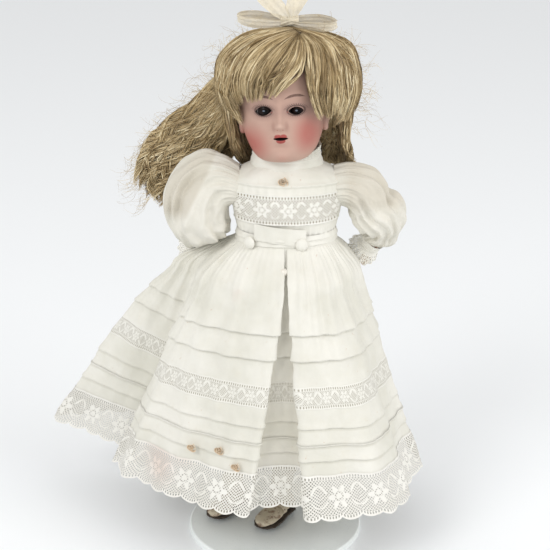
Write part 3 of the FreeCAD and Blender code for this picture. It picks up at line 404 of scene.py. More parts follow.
def head_point(turn, height):
    """A point of the casting; turn 0 looks forward, and height is a share above the chin."""
    half, front, back = along(head_form, height)
    sine, cosine = sin(turn), cos(turn)
    x = face_half_width * half * copysign(abs(sine) ** 0.94, sine)
    y = -face_front * front * cosine if cosine > 0 else -head_back * back * cosine
    point = Vector((x, y, height * head_height))
    if height > -0.1 and cosine > 0:
        point.y -= 0.001 * face_relief(x * 1000, point.z * 1000) * min(1.0, cosine * 2.2)
    return point


head_columns, head_rows = 168, 170
casting = bmesh.new()
bmesh.ops.create_grid(casting, x_segments=head_columns, y_segments=head_rows, size=0.5)
for vertex in casting.verts:
    share = vertex.co.x * 2
    turn = pi * (0.46 * share + 0.54 * share**3)
    height = -0.52 + 1.52 * (vertex.co.y + 0.5)
    vertex.co = head_point(turn, height)
bmesh.ops.remove_doubles(casting, verts=casting.verts, dist=1e-6)
rim = [edge for edge in casting.edges if edge.is_boundary]
bmesh.ops.holes_fill(casting, edges=rim)
bmesh.ops.recalc_face_normals(casting, faces=casting.faces)
casting.transform(head_pose)

bisque = Finish("painted_bisque", Roughness=0.62, Specular_IOR_Level=0.35, Subsurface_Weight=0.0)
face = bisque.place(tuple(chin), tuple(head_turn))
face_x, face_y, face_z = (bisque.axis(face, name) for name in "XYZ")
face_side = abs(face_x)
in_front = bisque.fall(face_y, -0.012, -0.004)


def spot(x, z, wide, high, inner=0.0, outer=1.0):
    """A soft painted oval on the face, strongest in its middle. Sizes are in millimetres."""
    across = (face_x - x * 0.001) / (wide * 0.001)
    up = (face_z - z * 0.001) / (high * 0.001)
    return bisque.fall(bisque.away(across, up), inner, outer)


skin_cloud = bisque.noise(face, 90.0, 4.0)
skin = bisque.mix(skin_cloud, (0.45, 0.285, 0.225), (0.50, 0.325, 0.262))
blush = bisque.most(spot(-23.0, 12.5, 19.0, 21.0, 0.1, 1.0), spot(20.5, 20.0, 15.0, 21.0, 0.1, 1.0))
blush = blush * bisque.step(skin_cloud, 0.1, 0.9, 0.80, 1.0)
skin = bisque.mix(blush * 0.90, skin, (0.40, 0.105, 0.085))
skin = bisque.mix(spot(0, 3.0, 8.0, 5.0) * 0.20, skin, (0.50, 0.20, 0.16))
# painted highlight on the tip of the nose
skin = bisque.mix(spot(0, 28.5, 3.0, 3.0) * 0.55, skin, (0.66, 0.46, 0.37))
for side in (-1, 1):
    # painted shade round each eye, a dark lid line and lash strokes that fan out round the eye
    offset_x = (face_x - side * eye_beside) / 0.0063
    offset_z = (face_z - eye_up) / 0.0037
    reach = bisque.away(offset_x, offset_z)
    angle = bisque.calc("ARCTAN2", offset_z, offset_x)
    skin = bisque.mix(bisque.step(reach, 0.9, 2.3, 0.50, 0.0), skin, (0.26, 0.15, 0.13))
    rim_line = bisque.band(reach, 0.92, 1.12, 0.10)
    skin = bisque.mix(rim_line * 0.85 * in_front, skin, (0.055, 0.03, 0.025))
    wave = bisque.sine(angle * 34.0 + offset_x * 2.0)
    stroke = bisque.step(wave, 0.35, 0.75)
    lower = bisque.step(offset_z, -0.15, -0.5) * bisque.step(reach, 1.28, 1.42, 0.6, 0.0)
    upper = bisque.step(offset_z, 0.05, 0.35) * bisque.fall(reach, 1.38, 1.55)
    outside = bisque.step(reach, 1.0, 1.05)
    skin = bisque.mix(stroke * outside * (lower + upper) * in_front * 0.8, skin, (0.06, 0.035, 0.03))
    # brow: short hairs along a low arch
    arch = eye_up + 0.0116 - (face_x - side * 0.0125) * (face_x - side * 0.0125) * 36.0
    thick = bisque.step(face_side, 0.0045, 0.0085, 0.0003, 0.0010)
    thick = thick * bisque.step(face_side, 0.015, 0.0200, 1.0, 0.12)
    brow_gap = abs(face_z - arch)
    brow = bisque.fall(brow_gap - thick, -0.00025, 0.00025)
    brow = brow * bisque.band(face_x * side, 0.0044, 0.0195, 0.0006)
    hairs = bisque.step(bisque.sine((face_x * side * 1.6 + face_z) * 5200.0), -0.6, 0.3, 0.45, 1.0)
    skin = bisque.mix(brow * hairs * in_front * 0.95, skin, (0.055, 0.020, 0.013))
    # red dots at the inner corner and the nostril, and painted shade beside the nose
    skin = bisque.mix(spot(side * 5.9, 38.0, 0.7, 0.7, 0.3, 1.0) * in_front * 0.5, skin, (0.45, 0.10, 0.08))
    skin = bisque.mix(spot(side * 2.1, 25.4, 1.0, 0.5, 0.3, 0.9) * in_front * 0.7, skin, (0.30, 0.08, 0.06))
    skin = bisque.mix(spot(side * 5.0, 27.5, 2.6, 6.5, 0.0, 1.0) * in_front * 0.35, skin, (0.28, 0.14, 0.11))
lip_cloud = bisque.noise(face, 500.0, 3.0)
lip_red = bisque.mix(lip_cloud, (0.28, 0.045, 0.040), (0.38, 0.080, 0.065))
upper_lip = bisque.most(spot(-2.0, 20.1, 3.2, 2.2, 0.70, 1.0), spot(2.0, 20.1, 3.2, 2.2, 0.70, 1.0))
upper_lip = bisque.most(upper_lip, spot(0, 19.0, 5.8, 0.95, 0.78, 1.0))
lips = bisque.most(upper_lip, spot(0, 16.9, 3.9, 2.2, 0.78, 1.0))
skin = bisque.mix(lips * in_front, skin, lip_red)
skin = bisque.mix(
    bisque.step(face_y, 0.0, 0.004) * bisque.step(face_z, 0.055, 0.075) * 0.4, skin, (0.55, 0.36, 0.28)
)
skin_grain = bisque.noise(face, 2600.0, 2.0)
bisque.set(
    Base_Color=skin,
    Roughness=bisque.mix(lips * in_front, (0.6, 0.6, 0.6), (0.34, 0.34, 0.34)),
    Normal=bisque.bump(skin_grain, 0.00006, 0.5),
)


def opening(wide, high, centre, depth, droop=0.0):
    """A tool that cuts an opening with pointed corners straight back into the face."""
    tool = bmesh.new()
    bmesh.ops.create_circle(tool, cap_ends=True, segments=28, radius=1.0)
    for vertex in tool.verts:
        angle = atan2(vertex.co.y, vertex.co.x)
        narrow = abs(cos(angle)) ** 2.2
        z = sin(angle) * high * (1 - 0.35 * narrow)
        vertex.co = Vector((cos(angle) * wide, 0, z - droop * cos(angle) * wide))
    made = bmesh.ops.extrude_face_region(tool, geom=tool.faces[:])
    pushed = [item for item in made["geom"] if isinstance(item, bmesh.types.BMVert)]
    bmesh.ops.translate(tool, verts=pushed, vec=(0, depth, 0))
    bmesh.ops.translate(tool, verts=tool.verts, vec=centre)
    bmesh.ops.recalc_face_normals(tool, faces=tool.faces)
    tool.transform(head_pose)
    return linked("opening_tool", mesh_of("opening_tool", tool))


# the walls of the eye and mouth openings get a near black finish, painted shade of the hollow head behind
# them
painted_inside_shade = Finish("painted_shade_inside_the_head", Base_Color=(0.035, 0.02, 0.018), Roughness=0.9)
head = add_piece("painted_head", casting, "doll", "bisque", bisque)
tools = [
    opening(0.0061, 0.0035, (-eye_beside, -0.05, eye_up), 0.036, -0.09),
    opening(0.0055, 0.0031, (eye_beside, -0.05, eye_up - 0.0004), 0.036, 0.02),
    opening(0.0056, 0.00125, (0, -0.05, 0.0185), 0.022),
]
for tool in tools:
    cut = head.modifiers.new("opening", "BOOLEAN")
    cut.object = tool
    cut.operation = "DIFFERENCE"
    cut.solver = "EXACT"
    tool.data.materials.append(painted_inside_shade.material)
    cut.material_mode = "TRANSFER"
apply_modifiers(head)
for tool in tools:
    bpy.data.objects.remove(tool)
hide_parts("shoulder_head")

for side, name in ((-1, "right_ear"), (1, "left_ear")):
    ear = bmesh.new()
    bmesh.ops.create_uvsphere(ear, u_segments=36, v_segments=28, radius=1.0)
    for vertex in ear.verts:
        x, y, z = vertex.co
        rim = hypot(y, z)
        dent = 0.42 * bell(rim - 0.45, 0.28) * max(0.0, x * side)
        narrow = 1 - 0.28 * max(0.0, -z)
        vertex.co = Vector((x - side * dent, y * narrow + 0.18 * z, z))
    ear.transform(Matrix.Diagonal((0.0042, 0.0060, 0.0092, 1)))
    ear.transform(head_pose @ Matrix.Translation((side * 0.0318, 0.002, 0.0245)))
    add_piece(name, ear, "doll", "bisque", bisque)

card = mottled(
    "pasteboard", 220.0, 5.0, (0.33, 0.24, 0.14), (0.46, 0.35, 0.22), (0.0003, 0.5), Roughness=0.85
)
coat(card, "pate")
plaster = mottled("plaster", 300.0, 5.0, (0.72, 0.69, 0.62), (0.82, 0.80, 0.74), (0.0003, 0.6), Roughness=0.9)
coat(plaster, "right_eye_pivot", "left_eye_pivot")
lead = mottled("cast_lead", 300.0, 4.0, (0.20, 0.21, 0.23), (0.34, 0.35, 0.37), Metallic=1.0, Roughness=0.55)
coat(lead, "eye_weight")

# Sleep eyes
# Two blown glass balls with a very dark brown iris, on one wire with a lead weight.
# The upper part of each ball is dipped in flesh coloured wax, which is the lid when they close.
for side, name in ((-1, "right"), (1, "left")):
    low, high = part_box(name + "_eyeball")
    centre = (low + high) / 2
    ball = bmesh.new()
    bmesh.ops.create_uvsphere(ball, u_segments=48, v_segments=32, radius=eye_radius)
    ball.transform(Matrix.Rotation(radians(90), 4, "Y"))
    ball.transform(Matrix.Translation(centre))
    eye = Finish(name + "_eye_glass", Roughness=0.05, Specular_IOR_Level=0.10)
    look = eye.place(tuple(centre), tuple(head_turn))
    look_x, look_z = eye.axis(look, "X"), eye.axis(look, "Z")
    from_middle = eye.away(look_x, look_z)
    rays = eye.noise(look, 1600.0, 2.0)
    iris = eye.mix(rays, (0.006, 0.004, 0.004), (0.022, 0.012, 0.010))
    iris = eye.mix(eye.fall(from_middle, 0.0017, 0.0020), iris, (0.002, 0.002, 0.002))
    # painted highlight: a pale blue grey glint on the glass, up and to one side of the pupil
    glint_x, glint_z = look_x + 0.0013, look_z - 0.0007
    glint_gap = eye.calc("SQRT", glint_x * glint_x * 0.6 + glint_z * glint_z * 1.6)
    glint = eye.step(glint_gap, 0.0004, 0.0010, 0.75, 0.0)
    iris = eye.mix(glint, iris, (0.20, 0.23, 0.28))
    # the white of the glass is painted dark grey, as painted shade under the lids
    white = eye.mix(eye.step(from_middle, 0.0056, 0.0062), iris, (0.16, 0.14, 0.14))
    lid = eye.step(look_z, 0.0052, 0.0056)
    eye.set(Base_Color=eye.mix(lid, white, (0.62, 0.36, 0.30)))
    piece = add_piece(name + "_glass_eye", ball, "eyes", "eye_glass", eye)
    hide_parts(name + "_eyeball")

# Kid body and limbs
# Torso, upper arms and legs are sewn kid leather, stuffed hard with sawdust and closed with overcast seams.
# The limbs turn on rivets. The forearms with their hands are bisque like the head.
kid = Finish("kid_leather", Roughness=0.7)
kid_place = kid.place()
kid_grain = kid.noise(kid_place, 1400.0, 4.0)
kid_cloud = kid.noise(kid_place, 60.0, 3.0)
kid.set(
    Base_Color=kid.mix(kid_cloud, (0.58, 0.43, 0.30), (0.72, 0.60, 0.46)),
    Normal=kid.bump(kid_grain, 0.0002, 0.6),
)
limb_bisque = mottled("limb_bisque", 120.0, 3.0, (0.74, 0.50, 0.41), (0.80, 0.58, 0.48), Roughness=0.6)


def shape_of(node):
    """The solid of a node as a bmesh whose faces are joined."""
    shape = bmesh.new()
    shape.from_mesh(nodes[node].data)
    bmesh.ops.remove_doubles(shape, verts=shape.verts, dist=1e-6)
    return shape


def dress_soft(node, body, finish, voxel, rounds):
    """Show a node with its edges rounded over, by a voxel remesh and rounds of smoothing."""
    name = node + "_soft"
    piece = linked(name, mesh_of(name, shape_of(node)))
    remesh = piece.modifiers.new("remesh", "REMESH")
    remesh.mode = "VOXEL"
    remesh.voxel_size = voxel
    smooth = piece.modifiers.new("smooth", "SMOOTH")
    smooth.factor = 0.5
    smooth.iterations = rounds
    apply_modifiers(piece)
    shade_smooth(piece.data)
    piece.data.materials.clear()
    piece.data.materials.append(finish.material)
    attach(piece, body)
    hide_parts(node)


dress_soft("torso", "doll", kid, 0.0016, 6)
for side in ("right", "left"):
    dress_soft(side + "_upper_arm", side + "_arm", kid, 0.0008, 5)
    dress_soft(side + "_thigh", side + "_thigh", kid, 0.0010, 5)
    dress_soft(side + "_shin", side + "_shin", kid, 0.0008, 5)
    dress_soft(side + "_forearm", side + "_arm", limb_bisque, 0.00042, 5)

# Stockings
# Short machine knitted cotton stockings, pulled up over the shins.
# Fine ribs run up the leg and the top edge is turned over.
knit = Finish("cotton_knit", Roughness=0.9)
knit_uv = knit.uv()
knit_rib = knit.sine(knit.axis(knit_uv, "X") * (tau * 52))
knit_row = knit.sine(knit.axis(knit_uv, "Y") * (tau * 60))
knit_height = knit_rib * 0.5 + knit_rib * knit_row * 0.3
# the hollows between the ribs and rows are painted darker, as painted shade
knit.set(
    Base_Color=knit.mix(knit.step(knit_height, -0.8, 0.8), (0.50, 0.43, 0.33), (0.74, 0.68, 0.57)),
    Normal=knit.bump(knit_height, 0.00025, 0.8),
)


def cloth_grid(columns, rows, place):
    """A grid of cloth whose point at u round and v down, its UVs, is place(u, v). Both run from 0 to 1."""
    shape = bmesh.new()
    shape.loops.layers.uv.new("cloth")
    bmesh.ops.create_grid(shape, x_segments=columns, y_segments=rows, size=0.5, calc_uvs=True)
    for vertex in shape.verts:
        vertex.co = place(vertex.co.x + 0.5, 0.5 - vertex.co.y)
    bmesh.ops.remove_doubles(shape, verts=shape.verts, dist=1e-6)
    return shape


for side in ("right", "left"):
    low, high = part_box(side + "_stocking")
    stocking_verts = [v.co.copy() for v in nodes[side + "_stocking"].data.vertices]

    def ring_at(level):
        near = [co for co in stocking_verts if abs(co.z - level) < 0.001]
        middle = sum(near, Vector()) / len(near)
        return middle, max((co - middle).length for co in near)

    bottom_centre, bottom_radius = ring_at(low.z)
    top_centre, top_radius = ring_at(high.z)

    def stocking_place(u, v):
        share = min(1.0, v * 1.06)
        fold = 0.0005 * bell(v - 0.05, 0.04)
        wrinkle = 0.0004 * sin(v * 37 + 2 * sin(tau * u))
        centre = top_centre.lerp(bottom_centre, share)
        radius = top_radius + (bottom_radius - top_radius) * share + fold + wrinkle * v
        turn = tau * u
        return centre + Vector((cos(turn) * radius, sin(turn) * radius, 0))

    stocking = add_piece(
        side + "_knit_stocking", cloth_grid(64, 40, stocking_place), side + "_shin", "stocking", knit
    )
    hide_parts(side + "_stocking")

# Shoes
# Tan kid slippers with a rounded toe, a bound top line and a thin dark leather sole.
# They are scuffed brown at the toes, and a strap goes over each instep.
shoe_leather = Finish("shoe_leather", Roughness=0.55)
shoe_place = shoe_leather.place()
shoe_scuff = shoe_leather.noise(shoe_place, 220.0, 5.0, 0.6)
shoe_fine = shoe_leather.noise(shoe_place, 1800.0, 3.0)
shoe_low = shoe_leather.fall(shoe_leather.axis(shoe_place, "Z"), 0.0085, 0.015)
shoe_wear = shoe_leather.step(shoe_scuff + shoe_low * 0.16, 0.50, 0.66)
shoe_colour = shoe_leather.mix(shoe_leather.noise(shoe_place, 90.0), (0.52, 0.45, 0.32), (0.66, 0.58, 0.44))
shoe_leather.set(
    Base_Color=shoe_leather.mix(shoe_wear * 0.75, shoe_colour, (0.20, 0.10, 0.065)),
    Roughness=shoe_leather.step(shoe_scuff, 0.3, 0.7, 0.45, 0.75),
    Normal=shoe_leather.bump(shoe_fine, 0.00015, 0.6),
)
sole_leather = mottled(
    "sole_leather", 400.0, 4.0, (0.035, 0.025, 0.018), (0.075, 0.055, 0.04), (0.0003, 0.7), Roughness=0.8
)
foot_turn = radians(-32)
for side in ("right", "left"):
    dress_soft(side + "_shoe", side + "_shin", shoe_leather, 0.00055, 4)
    dress_soft(side + "_sole", side + "_shin", sole_leather, 0.0004, 2)
    low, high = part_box(side + "_shoe")
    shoe_middle = (low + high) / 2
    strap_body = bmesh.new()
    bmesh.ops.create_grid(strap_body, x_segments=40, y_segments=4, size=0.5)
    for vertex in strap_body.verts:
        bend = pi * (vertex.co.x + 0.5)
        across = vertex.co.y * 0.0042
        vertex.co = Vector((-cos(bend) * 0.0101, across, sin(bend) * 0.0062))
    bmesh.ops.solidify(strap_body, geom=strap_body.faces[:], thickness=-0.0008)
    bmesh.ops.recalc_face_normals(strap_body, faces=strap_body.faces)
    strap_body.transform(Matrix.Rotation(foot_turn, 4, "Z"))
    strap_body.transform(Matrix.Translation((shoe_middle.x + 0.0005, shoe_middle.y - 0.001, low.z + 0.0056)))
    add_piece(side + "_shoe_strap", strap_body, side + "_shin", "shoe_leather", shoe_leather)

# Gown cloth
# Fine ivory cotton batiste, cut by hand and finished with bands of cotton lace.
# It carries a greenish grey painted shade, spread by a cloudy noise, with faint pink and brown stains at the
# front.
# Middle and size of each stain
old_stain_spots = [
    (-0.100, -0.040, 0.078, 0.020),
    (-0.078, -0.060, 0.090, 0.013),
    (-0.010, -0.060, 0.243, 0.008),
    (-0.032, -0.052, 0.226, 0.015),
    (-0.044, -0.057, 0.208, 0.012),
    (0.020, -0.068, 0.200, 0.006),
    (-0.060, -0.050, 0.150, 0.008),
    (0.030, -0.090, 0.060, 0.010),
]


def batiste(name):
    """Cotton cloth with its weave, painted greenish grey shade, its aged tone and the stains of the front."""
    finish = Finish(name, Roughness=0.88, Specular_IOR_Level=0.15, Sheen_Weight=0.12, Sheen_Roughness=0.5)
    place = finish.place()
    cloud = finish.noise(place, 22.0, 4.0, 0.55)
    mottle = finish.noise(place, 130.0, 4.0, 0.6)
    # painted shade: a cloudy noise mixes a greenish grey, the tone of the cloth in shade, into the ivory
    tone = finish.mix(finish.step(cloud, 0.3, 0.72), (0.655, 0.640, 0.565), (0.760, 0.742, 0.680))
    tone = finish.mix(finish.step(mottle, 0.45, 0.85) * 0.16, tone, (0.63, 0.57, 0.44))
    fleck = finish.step(finish.noise(place, 260.0, 2.0), 0.735, 0.78)
    tone = finish.mix(fleck * 0.4, tone, (0.52, 0.33, 0.24))
    for x, y, z, size in old_stain_spots:
        gap = finish.gap(place, (x, y, z))
        edge = finish.step(gap + mottle * size * 0.9, size * 0.35, size * 1.25, 0.34, 0.0)
        tone = finish.mix(edge, tone, (0.66, 0.40, 0.31))
    waves = finish.noise(place, 2600.0, 2.0)
    return finish, place, tone, waves


gown_cloth, _, gown_tone, gown_weave = batiste("ivory_batiste")
gown_cloth.set(Base_Color=gown_tone, Normal=gown_cloth.bump(gown_weave, 0.00012, 0.7))


def lace_threads(finish, run, up, half, repeat):
    """Thread of a lace band: net, flowers with leaves between them, and two firm edges. Sizes in metres."""
    pitch = 0.0011 + 0.09 * half
    net_a = abs(finish.sine((run + up) * (pi / pitch)))
    net_b = abs(finish.sine((run - up) * (pi / pitch)))
    net = finish.fall(finish.calc("MINIMUM", net_a, net_b), 0.52, 0.76)
    cell = finish.calc("FLOORED_MODULO", run, repeat) - repeat / 2
    radius = finish.away(cell, up)
    angle = finish.calc("ARCTAN2", up, cell)
    petal = half * 0.58 * (0.76 + 0.24 * finish.calc("COSINE", angle * 6.0))
    flower = finish.fall(radius - petal, -0.0002, 0.0002)
    heart = finish.band(radius, half * 0.14, half * 0.24, 0.0002)
    flower = flower * (1 - heart * 0.7)
    swing = finish.sine(run * (tau / repeat) + pi / 2) * half * 0.52
    leaf_half = 0.0006 + 0.0011 * abs(finish.sine(run * (3 * pi / repeat)))
    scroll = finish.fall(abs(up - swing) - leaf_half, -0.0002, 0.0002)
    other = finish.fall(abs(up + swing) - leaf_half * 0.6, -0.0002, 0.0002)
    leaves = finish.most(scroll, other) * finish.step(radius, half * 0.60, half * 0.66)
    from_edge = half - abs(up)
    bar = finish.fall(finish.sine(run * (tau / 0.0024)), 0.05, 0.45)
    ladder = finish.band(from_edge, 0.0011, 0.0028, 0.0002)
    edge = finish.fall(from_edge, 0.0032, 0.0036) * (1 - ladder * (1 - bar))
    inside = finish.step(from_edge, 0.0032, 0.0036)
    dense = finish.most(flower, leaves) * inside
    return finish.most(finish.most(dense, edge), net * 0.93 * inside)


# Skirt
# A gathered skirt with two deep tucks, a band of lace insertion and three pin tucks above a lace hem.
# It falls in a deep fold at the centre front, and the right back of it is drawn out to her right.
waist_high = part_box("belt")[0].z + 0.006
lace_top = 0.087
doll_x = 0.009
waist_oval = (0.0368, 0.0290)
skirt_reach = 0.100
hip_level, hem_level = 0.2262, 0.0520
hip_corners = [
    (-0.03, -0.49), (0.00, -0.485), (0.02, -0.49), (0.03, -0.51), (0.00, -0.54), (0.08, -0.535),
    (0.21, -0.51),
    (0.39, -0.42), (0.53, -0.22), (0.59, 0.05), (0.57, 0.30), (0.43, 0.46), (0.19, 0.50), (-0.06, 0.46),
    (-0.28, 0.41), (-0.46, 0.30), (-0.88, 0.14), (-0.85, 0.03), (-0.70, -0.03), (-0.73, -0.17),
    (-0.61, -0.31),
    (-0.46, -0.41), (-0.28, -0.48), (-0.09, -0.53), (-0.02, -0.535), (-0.04, -0.51),
]
hem_corners = [
    (-0.22, -0.67), (-0.03, -0.655), (0.10, -0.67), (0.19, -0.74), (0.155, -0.83), (0.22, -0.875),
    (0.48, -0.86),
    (0.82, -0.74), (1.05, -0.24), (1.12, 0.20), (1.02, 0.62), (0.71, 0.88), (0.27, 0.98), (-0.22, 0.98),
    (-0.72, 0.96), (-1.25, 0.97), (-2.02, 0.82), (-1.72, 0.46), (-1.30, 0.26), (-1.46, 0.08), (-1.14, -0.32),
    (-0.87, -0.54), (-0.62, -0.68), (-0.37, -0.82), (-0.29, -0.80), (-0.31, -0.73),
]


def spline(a, b, c, d, f):
    """A place at the share f between b and c, on a smooth line through all four."""
    return 0.5 * (2 * b + (c - a) * f + (2 * a - 5 * b + 4 * c - d) * f**2 + (3 * b - a - 3 * c + d) * f**3)


def closed_curve(corners, t):
    """A smooth closed line through corners; t counts the corners."""
    k = floor(t)
    near = (Vector((*corners[(k + shift) % len(corners)], 0)) for shift in (-1, 0, 1, 2))
    return spline(*near, t - k)


fine_steps = 12
hem_lengths = [0.0]
for k in range(len(hem_corners) * fine_steps):
    run = closed_curve(hem_corners, (k + 1) / fine_steps) - closed_curve(hem_corners, k / fine_steps)
    hem_lengths.append(hem_lengths[-1] + run.length * skirt_reach)
hem_round = hem_lengths[-1]


def corner_count(u):
    """Where on the outline the share u of the hem's length lies."""
    want = (u % 1.0) * hem_round
    low, high = 0, len(hem_lengths) - 1
    while high - low > 1:
        middle = (low + high) // 2
        if hem_lengths[middle] <= want:
            low = middle
        else:
            high = middle
    return (low + (want - hem_lengths[low]) / (hem_lengths[high] - hem_lengths[low])) / fine_steps


def skirt_point(u, level, proud=0.0):
    """A point of the skirt at a share round the hem and a height, standing proud of it by a tuck."""
    t = corner_count(u)
    hip = closed_curve(hip_corners, t) * skirt_reach
    hem = closed_curve(hem_corners, t) * skirt_reach
    ahead = closed_curve(hem_corners, t + 0.05) - closed_curve(hem_corners, t - 0.05)
    out = Vector((ahead.y, -ahead.x, 0)).normalized()
    angle = atan2(hip.y, hip.x)
    waist = Vector((waist_oval[0] * cos(angle), waist_oval[1] * sin(angle), 0))
    down = max(0.0, waist_high - level)
    if level > hip_level:
        share = down / (waist_high - hip_level)
        point = waist.lerp(hip, sin(share * pi / 2) ** 1.25 if share < 1 else 1.0)
    else:
        share = (hip_level - level) / (hip_level - hem_level)
        point = hip.lerp(hem, share)
    fall = min(1.0, down / 0.19)
    drift = noise.noise((cos(tau * u) * 2.0, sin(tau * u) * 2.0, level * 5))
    fine = sin(tau * (96 * u + 0.35 * drift + 0.25 * sin(19 * u)))
    wide = sin(tau * (31 * u + 0.9 * drift))
    broad = sin(tau * (13 * u + 0.6 * drift) + 1.3)
    ease = min(1.0, down / 0.012)
    lift = ease * fine * 0.0007 * exp(-down / 0.026)
    lift += ease * wide * (0.0010 * bell(down - 0.035, 0.05) + 0.0009 * fall)
    lift += broad * 0.0034 * fall * fall + ease * broad * 0.0012 * bell(down - 0.04, 0.03)
    from_valley = min(t, len(hem_corners) - t)
    lift *= min(1.0, 0.15 + 0.85 * (from_valley / 5.5) ** 3)
    crumple = noise.noise((point.x * 55, point.y * 55, level * 40))
    lift += 0.0016 * crumple * ease * min(1.0, 0.3 + from_valley / 6)
    lift += 0.0006 * noise.noise((point.x * 190, point.y * 190, level * 150)) * ease
    point += out * (lift + proud)
    point.x += doll_x
    swept = bell(t - 16.2, 1.5) * min(1.0, down / 0.06)
    point.z = level + swept * (0.010 + 0.010 * bell(level - 0.15, 0.05))
    return point


# Height above the floor of each tuck's edge, its depth in height and how far it stands proud
tucks = [
    (0.1965, 0.013, 0.0019), (0.1770, 0.013, 0.0019), (0.1240, 0.005, 0.0010), (0.1105, 0.005, 0.0010),
    (0.0985, 0.005, 0.0010),
]
skirt_rows = [(waist_high, 0.0)]
row_gap = 0.0024
level = waist_high
while level > lace_top - 0.001:
    step_to = level - row_gap
    crossed = [tuck for tuck in tucks if step_to < tuck[0] <= level]
    if crossed:
        edge, depth, rise = crossed[0]
        skirt_rows.append((edge + 0.0012, rise * 0.96))
        skirt_rows.append((edge, rise))
        skirt_rows.append((edge - 0.0001, rise * 0.75))
        skirt_rows.append((edge + 0.0012, rise * 0.22))
        skirt_rows.append((edge - 0.0006, 0.0))
        level = edge - 0.0006
        continue
    level = step_to
    above = [rise * max(0.0, 1 - (level - edge) / depth) for edge, depth, rise in tucks if level > edge]
    skirt_rows.append((level, max(above, default=0.0)))


def skirt_place(u, v):
    level, proud = skirt_rows[round(v * (len(skirt_rows) - 1))]
    return skirt_point(u, level, proud)


insertion_middle, insertion_half = 0.148, 0.0088
skirt_cloth, _, skirt_tone, skirt_weave = batiste("skirt_batiste")
skirt_uv = skirt_cloth.uv()
skirt_run = skirt_cloth.axis(skirt_uv, "X") * hem_round
skirt_height = skirt_cloth.axis(skirt_uv, "Y") * (waist_high - lace_top) + lace_top
in_band = skirt_cloth.band(
    skirt_height, insertion_middle - insertion_half, insertion_middle + insertion_half, 0.0002
)
band_thread = lace_threads(skirt_cloth, skirt_run, skirt_height - insertion_middle, insertion_half, 0.0190)
skirt_tone = skirt_cloth.mix(in_band * band_thread * 0.6, skirt_tone, (0.80, 0.785, 0.73))
# the holes of the insertion lace are painted dark, the shade of the skirt's inside seen through them
skirt_tone = skirt_cloth.mix(in_band * (1 - band_thread) * 0.85, skirt_tone, (0.36, 0.33, 0.26))
# painted shadow along the underside of each tuck
for edge, depth, rise in tucks:
    under = skirt_cloth.band(skirt_height, edge - 0.0022, edge - 0.0004, 0.0005)
    skirt_tone = skirt_cloth.mix(under * 0.22, skirt_tone, (0.47, 0.45, 0.36))
# the fold's two sides, as counts of the outline's corners
valley_ends = [hem_lengths[round(corner * fine_steps)] for corner in (3.6, 24.4)]
fold_shade = skirt_cloth.most(
    skirt_cloth.fall(skirt_run, valley_ends[0] - 0.004, valley_ends[0] + 0.002),
    skirt_cloth.step(skirt_run, valley_ends[1] - 0.002, valley_ends[1] + 0.004),
)
fold_shade = fold_shade * skirt_cloth.step(skirt_height, 0.24, 0.20)
skirt_tone = skirt_cloth.mix(fold_shade * 0.30, skirt_tone, (0.47, 0.43, 0.34))
skirt_cloth.set(
    Base_Color=skirt_tone,
    Normal=skirt_cloth.bump(skirt_weave * 0.3 + band_thread * in_band, 0.0003, 0.7),
)
skirt_form = cloth_grid(640, len(skirt_rows) - 1, skirt_place)
skirt_way = skirt_form.loops.layers.uv.active
for face in skirt_form.faces:
    for loop in face.loops:
        row = round((1 - loop[skirt_way].uv.y) * (len(skirt_rows) - 1))
        loop[skirt_way].uv.y = (skirt_rows[row][0] - lace_top) / (waist_high - lace_top)
skirt = add_piece("gathered_skirt", skirt_form, "doll", "gown", skirt_cloth)
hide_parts("skirt")

# Lace hem
# A deep edging of machine cotton lace, sewn flat under the last pin tuck.
# Its lower edge is cut in scallops with a firm corded outline.
scallop_count = 52
lace_drop = lace_top - hem_level
hem_lace_rows = 22


def scallop(u):
    """How far the edge rises between two scallops."""
    return 0.0030 * (1 - abs(sin(pi * scallop_count * u)) ** 0.7)


def hem_lace_place(u, v):
    bottom = hem_level + scallop(u)
    level = lace_top + 0.0008 + (bottom - lace_top - 0.0008) * v
    return skirt_point(u, level, 0.0004)


hem_cotton = Finish("hem_lace", Roughness=0.9, Specular_IOR_Level=0.1)
hem_uv = hem_cotton.uv()
hem_run = hem_cotton.axis(hem_uv, "X") * hem_round
hem_up = (hem_cotton.axis(hem_uv, "Y") - 0.5) * lace_drop
hem_thread = lace_threads(hem_cotton, hem_run, hem_up, lace_drop / 2 * 0.97, hem_round / scallop_count * 2)
hem_mottle = hem_cotton.noise(hem_cotton.place(), 60.0, 4.0)
hem_colour = hem_cotton.mix(hem_mottle, (0.72, 0.70, 0.64), (0.84, 0.825, 0.78))
for x, y, z, size in old_stain_spots[:2]:
    stain = hem_cotton.step(
        hem_cotton.gap(hem_cotton.place(), (x, y, z)), size * 0.3, size * 1.4, 0.35, 0.0
    )
    hem_colour = hem_cotton.mix(stain, hem_colour, (0.60, 0.36, 0.28))
# the holes of the hem lace are painted dark and half opaque, as painted shade of the skirt's inside behind
# them
hem_cotton.set(
    Base_Color=hem_cotton.mix(hem_thread, (0.42, 0.39, 0.32), hem_colour),
    Alpha=hem_cotton.step(hem_thread, 0.1, 0.6, 0.40, 1.0),
    Normal=hem_cotton.bump(hem_thread, 0.0004, 0.8),
)
hem_lace = add_piece(
    "scalloped_hem", cloth_grid(1040, hem_lace_rows, hem_lace_place), "doll", "lace", hem_cotton
)
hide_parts("hem_lace")

